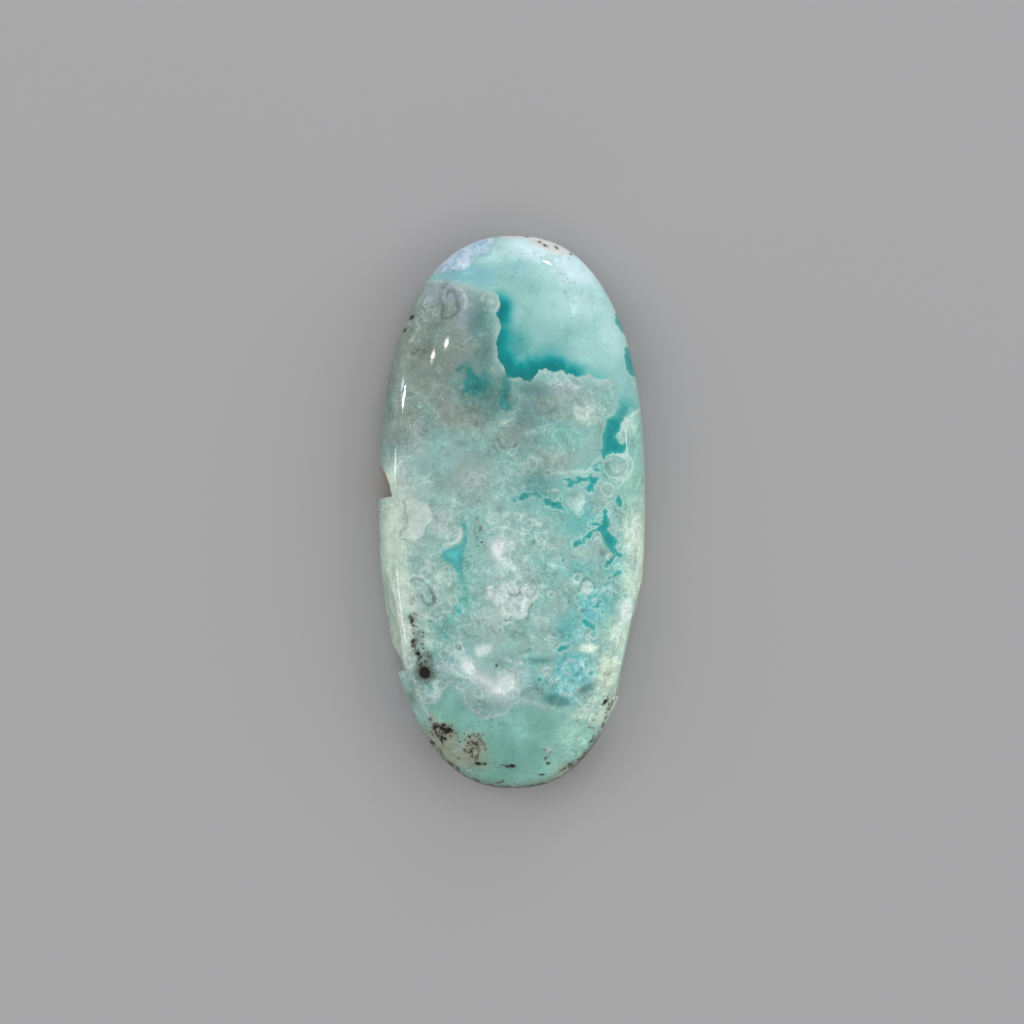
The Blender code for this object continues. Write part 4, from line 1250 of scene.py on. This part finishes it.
pool_colour = over(pool_colour, tone(138, 190, 200), ramp_share(mark("blue_wash"), 0.1, 0.9) * 0.8)
pool_colour = over(pool_colour, tone(46, 152, 152), ramp_share(mark("soft_teal") + mottle * 0.10, 0.05, 1.0) * 0.85)
colour = over(colour, pool_colour, on_pool)

low_depth = mark("low_pool") + frayed * 2.6
low_soft = mark("low_soft")
low_band = near_level(low_depth, -0.20, 0.16) * (1.0 - low_soft)
colour = over(colour, tone(142, 166, 166), ramp_share(low_depth, -1.1, -0.1) * (1.0 - low_soft) * 0.45)
colour = over(colour, tone(192, 210, 206), low_band * (shore_cover * 0.5 + 0.1))
low_colour = over(tone(120, 168, 155), tone(138, 188, 175), ramp_share(cloudy + mottle * 0.4, -0.5, 0.5))
low_colour = over(low_colour, tone(148, 196, 180), ramp_share(mark("green"), 0.2, 0.9) * 0.7)
low_colour = over(low_colour, tone(96, 160, 148), ramp_share(fine + mottle, 0.7, 1.5) * 0.35)
on_low_pool = ramp_share(low_depth, -0.30, 0.25) * (1.0 - low_soft) + ramp_share(low_depth, -1.2, 0.9) * low_soft
colour = over(colour, low_colour, on_low_pool * 0.92)

# %% Teal veins, the cyan patch and the lavender streak
teal_depth = mark("teal") + middling * 0.10 + fine * 0.15 + dust * 0.06
teal_body = ramp_share(teal_depth, -0.07, 0.07) * (1.0 - mark("vein_fade"))
colour = over(colour, tone(116, 184, 178), ramp_share(teal_depth, -0.40, 0.0) * 0.30)
vein_colour = over(tone(62, 156, 152), tone(24, 136, 136), ramp_share(teal_depth + mottle * 0.15, 0.0, 0.35))
vein_colour = lightened(vein_colour, fine * 0.16 + middling * 0.12)
colour = over(colour, vein_colour, teal_body * 0.92)
colour = over(colour, tone(196, 222, 214), near_level(teal_depth, -0.10, 0.08) * line_cover * (1.0 - mark("vein_fade")) * 0.55)
trail_depth = mark("cyan_trail") + frayed * 3.0
colour = over(colour, tone(92, 172, 166), ramp_share(trail_depth, -0.35, 0.30) * (line_cover * 0.55 + 0.15))
cyan_depth = mark("cyan") + frayed * 1.2
colour = over(colour, tone(84, 168, 168), ramp_share(cyan_depth, -0.14, 0.10) * 0.85)
colour = over(colour, tone(100, 194, 194), ramp_share(cyan_depth, 0.15, 0.55) * 0.9)
streak_depth = mark("streak") + frayed
streak_colour = over(tone(146, 186, 212), tone(196, 212, 230), ramp_share(mottle + cloudy * 0.5, -0.6, 0.2))
streak_colour = over(streak_colour, tone(222, 230, 238), near_level(middling, 0.1, 0.25) * 0.6)
colour = over(colour, tone(104, 160, 186), near_level(streak_depth, -0.02, 0.30) * line_cover * 0.55)
colour = over(colour, streak_colour, ramp_share(streak_depth, -0.12, 0.30) * 0.85)
print("pools and veins laid")

# %% [markdown]
# ### Host rock, rim and broken faces
# The speckled patches are beige-grey with tiny dark dots, which are the peaks of fine noise.
# The brown rim line follows the girdle and is broken up by noise along it. A fresh chip has no
# polish, so it shows the stone's own buff colour, and it is rougher.

# %% Dark and broken places
colour = over(colour, tone(76, 72, 64), ramp_share(mark("smoke") + fine * 0.22 + middling * 0.18, 0.12, 0.95) * 0.88)
speckled = mark("speckled") + fine * 0.22 + mottle * 0.12
colour = over(colour, tone(156, 160, 142), ramp_share(speckled, 0.15, 0.95) * 0.80)


def dots(per_mm, size, cover):
    """Small round dots. Where the cover is thin, fewer of the cells hold one."""
    node = paint.nodes.new("ShaderNodeTexVoronoi")
    feed(paint, node.inputs["Vector"], ruffled)
    node.inputs["Scale"].default_value = per_mm / MM
    held = ramp_share(cover + Amount(paint, node.outputs["Color"]), 1.0, 1.05)
    return (1.0 - ramp_share(Amount(paint, node.outputs["Distance"]), size * 0.6, size)) * held


dotted = mark("dotted") + mottle * 0.1
colour = over(colour, tone(96, 88, 70), dots(3.0, 0.50, dotted * 0.9) * 0.6)
colour = over(colour, tone(30, 24, 18), dots(3.6, 0.34, dotted * 0.8) * 0.9)
colour = over(colour, tone(218, 216, 211), ramp_share(mark("pinkish") + fine * 0.25 + mottle * 0.2, 0.25, 0.75) * 0.85)
# Dark teal-grey of the stone, together with painted shade along the left edge.
colour = over(colour, tone(74, 120, 117), ramp_share(mark("dark_teal_and_shade") + mottle * 0.15, 0.1, 1.0) * 0.75)

grey_teal = mark("grey_teal") + mottle * 0.2
colour = over(colour, tone(84, 136, 130), ramp_share(grey_teal, -1.4, 0.0) * 0.50)
colour = over(colour, tone(46, 130, 127), ramp_share(grey_teal + frayed * 1.5, -0.22, 0.10) * 0.80)

seam = mark("seam") + frayed * 2.0
colour = over(colour, tone(44, 124, 121), ramp_share(seam, -0.25, 0.10) * 0.70)
rim = mark("rim")
edge = ramp_share(rim, 0.955, 0.995)
low_end = mark("low_end")
right_side = mark("right_side")
rim_grain = grain(0.97, detail=3.0)
colour = over(colour, tone(212, 220, 192), edge * right_side * 0.8)
colour = over(colour, tone(104, 116, 84), edge * low_end * 0.6)
rim_line = ramp_share(rim + rim_grain * 0.022 + fine * 0.006, 0.982, 0.998) * low_end
colour = over(colour, tone(58, 46, 34), rim_line * 0.88)
# Painted shade: the rim on the left side is darkened.
colour = over(colour, tone(106, 118, 110), ramp_share(rim + mottle * 0.02, 0.90, 1.0) * mark("left_shade_side") * 0.6)

black_depth = mark("black") + fine * 0.05 + dust * 0.03
colour = over(colour, tone(92, 84, 74), ramp_share(black_depth, -0.14, 0.02) * 0.50)
brown = mark("brown") + fine * 0.10 + middling * 0.08
colour = over(colour, tone(64, 52, 40), ramp_share(brown, -0.12, 0.06) * ramp_share(fine + middling * 0.6, -0.35, 0.45) * 0.85)
black_body = ramp_share(black_depth, -0.035, 0.035)
colour = over(colour, tone(10, 7, 5), black_body)

broken = ramp_share(mark("broken"), 0.2, 0.7)
chip_colour = over(tone(150, 128, 98), tone(176, 172, 146), ramp_share(mottle + fine * 0.5, -0.3, 0.5))
lower_chips = mark("lower_chips")
chip_colour = over(chip_colour, over(tone(142, 172, 160), tone(184, 202, 186), ramp_share(mottle, -0.4, 0.5)), lower_chips * 0.9)
colour = over(colour, chip_colour, broken * (1.0 - black_body) * (1.0 - lower_chips * 0.35))
under = mark("underside")
colour = over(colour, tone(140, 150, 130), ramp_share(under + mottle * 0.25, 0.35, 1.0) * 0.45)
smooth_pools = on_pool.larger(on_low_pool * 0.6)
unevenness = (every_size * 0.62 + dust * 0.06) * patchy * (1.0 - smooth_pools * 0.45)
colour = lightened(colour, unevenness * (mark("crisp") * 0.7 + 1.0), richness=1.08)
paint.links.new(colour, shader.inputs["Base Color"])
print("nodes in the material:", len(paint.nodes))

# %% Gloss and relief
roughness = 0.045 + (mottle * 0.5 + 0.5).clip() * 0.02 + broken * 0.30 + black_body * 0.35
roughness = roughness + ramp_share(under, 0.0, 0.3) * 0.10
paint.links.new(roughness.clip().socket, shader.inputs["Roughness"])
shader.inputs["IOR"].default_value = 1.55
shader.inputs["Subsurface Weight"].default_value = 0.10
shader.inputs["Subsurface Radius"].default_value = (1.0, 1.0, 1.0)
shader.inputs["Subsurface Scale"].default_value = 0.5 * MM
relief = paint.nodes.new("ShaderNodeBump")
relief.inputs["Strength"].default_value = 0.16
relief.inputs["Distance"].default_value = 0.02 * MM
paint.links.new((fine * 0.3 + broken * fine * 1.5 + mottle * 0.3).socket, relief.inputs["Height"])
paint.links.new(relief.outputs[0], shader.inputs["Normal"])

# %% [markdown]
# ## Handing the stone to the frame
# The finished piece stands for the CAD node and rides on the model's only body. Smooth shading
# with sharp edges at the steps of the chips comes last.

# %% Ride and replace
stone.data.shade_smooth()
stone.data.set_sharp_from_angle(angle=math.radians(35))
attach(stone, "root")
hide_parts("cabochon")

# %% [markdown]
# ## Floor, light and camera
# The stone lies on its flat back on a plain pale grey floor, and the camera looks straight down
# on it. Soft light comes from a dim even sky and broad panels. A polished dome mirrors every
# lamp, so the broad panels are kept out of its reflections, and a few small lamps stand
# exactly where the dome mirrors them to the camera at the places of the bright streaks.

# %% Floor
def flat_square(name, half, z, material):
    mesh = bpy.data.meshes.new(name)
    corners = [(-half, -half, z), (half, -half, z), (half, half, z), (-half, half, z)]
    mesh.from_pydata(corners, [], [(0, 1, 2, 3)])
    square = bpy.data.objects.new(name, mesh)
    mesh.materials.append(material)
    bpy.context.scene.collection.objects.link(square)
    return square


paper = bpy.data.materials.new("pale paper")
paper.use_nodes = True
paper.node_tree.nodes["Principled BSDF"].inputs["Base Color"].default_value = tone(168, 166, 167)
paper.node_tree.nodes["Principled BSDF"].inputs["Roughness"].default_value = 0.9
paper.node_tree.nodes["Principled BSDF"].inputs["Specular IOR Level"].default_value = 0.0
floor = flat_square("floor", 1.5, -0.00002, paper)

# %% Camera
FRAME_WIDTH = 1024 / 14.579 * MM  # what the picture is wide, at the stone's girdle
LENS = 85.0
SENSOR = 36.0
camera_data = bpy.data.cameras.new("camera")
camera_data.lens = LENS
camera_data.sensor_width = SENSOR
camera_data.clip_start = 0.01
camera_height = FRAME_WIDTH * LENS / SENSOR + 2.0 * MM
camera = bpy.data.objects.new("camera", camera_data)
camera.location = (0.0, 0.0, camera_height)
bpy.context.scene.collection.objects.link(camera)
bpy.context.scene.camera = camera
print("camera height, mm:", round(camera_height / MM, 1))

# %% Soft light
world = bpy.data.worlds.new("sky")
world.use_nodes = True
world.node_tree.nodes["Background"].inputs["Color"].default_value = (0.93, 0.97, 1.0, 1.0)
world.node_tree.nodes["Background"].inputs["Strength"].default_value = 0.35
bpy.context.scene.world = world
bpy.context.scene.view_settings.view_transform = "Standard"


def panel(name, towards, distance, width, length, power, colour=(1.0, 1.0, 1.0), mirrored=True):
    """A rectangular lamp that faces the stone from the given direction."""
    data = bpy.data.lights.new(name, "AREA")
    data.shape = "RECTANGLE"
    data.size = width
    data.size_y = length
    data.energy = power
    data.color = colour
    lamp = bpy.data.objects.new(name, data)
    direction = Vector(towards).normalized()
    lamp.location = direction * distance
    lamp.rotation_euler = direction.to_track_quat("Z", "Y").to_euler()
    lamp.visible_glossy = mirrored
    bpy.context.scene.collection.objects.link(lamp)
    return lamp


PANEL_POWER = 0.66
panel("left panel", (-1.3, 0.3, 0.9), 0.5, 0.5, 0.5, PANEL_POWER * 1.25, mirrored=False)
panel("right panel", (1.4, -0.1, 0.6), 0.5, 0.5, 0.5, PANEL_POWER * 1.9, mirrored=False)
panel("top panel", (0.4, 1.4, 0.8), 0.5, 0.5, 0.4, PANEL_POWER * 1.4, mirrored=False)
panel("low panel", (0.0, -1.3, 0.9), 0.5, 0.5, 0.4, PANEL_POWER * 1.0, mirrored=False)
panel("overhead panel", (0.0, 0.0, 1.0), 0.6, 0.5, 0.5, PANEL_POWER * 0.5, mirrored=False)

# %% Small lamps that the dome mirrors
def dome_normal(x, y):
    """The direction in which the dome faces above a place given in mm."""
    nearest = int(np.argmin(np.hypot(points[:, 0] - x, points[:, 1] - y) + 20 * (depth > 0.05)))
    return stone.data.vertices[nearest].normal.copy(), Vector(points[nearest]) * MM


def glint(name, x, y, size, radiance, colour=(1.0, 1.0, 1.0), distance=0.30):
    """A small lamp that shows as a bright streak at this place of the dome."""
    normal, place = dome_normal(x, y)
    to_camera = (camera.location - place).normalized()
    towards = 2 * normal.dot(to_camera) * normal - to_camera
    towards.z = max(towards.z, 0.08)
    width, length = size
    power = radiance * math.pi * width * length
    lamp = panel(name, towards, distance, width, length, power, colour)
    lamp.location = place + towards.normalized() * distance
    print(name, "from", [round(part, 2) for part in towards.normalized()])
    return lamp


glint("window", -7.30, 7.7, (0.013, 0.016), 60)
glint("window side", -7.75, 8.8, (0.010, 0.014), 14, (0.8, 0.92, 1.0))
glint("window foot", -8.15, 3.4, (0.016, 0.016), 9)
glint("lamp", -4.45, 11.25, (0.011, 0.008), 50, (1.0, 0.95, 0.8))
glint("lamp below", -5.35, 10.70, (0.011, 0.008), 50, (1.0, 0.95, 0.8))
glint("far window", 2.40, 16.90, (0.022, 0.012), 60)
glint("right edge", 8.80, 4.6, (0.016, 0.010), 10)
glint("long low edge", -8.3, -5.5, (0.060, 0.014), 5)
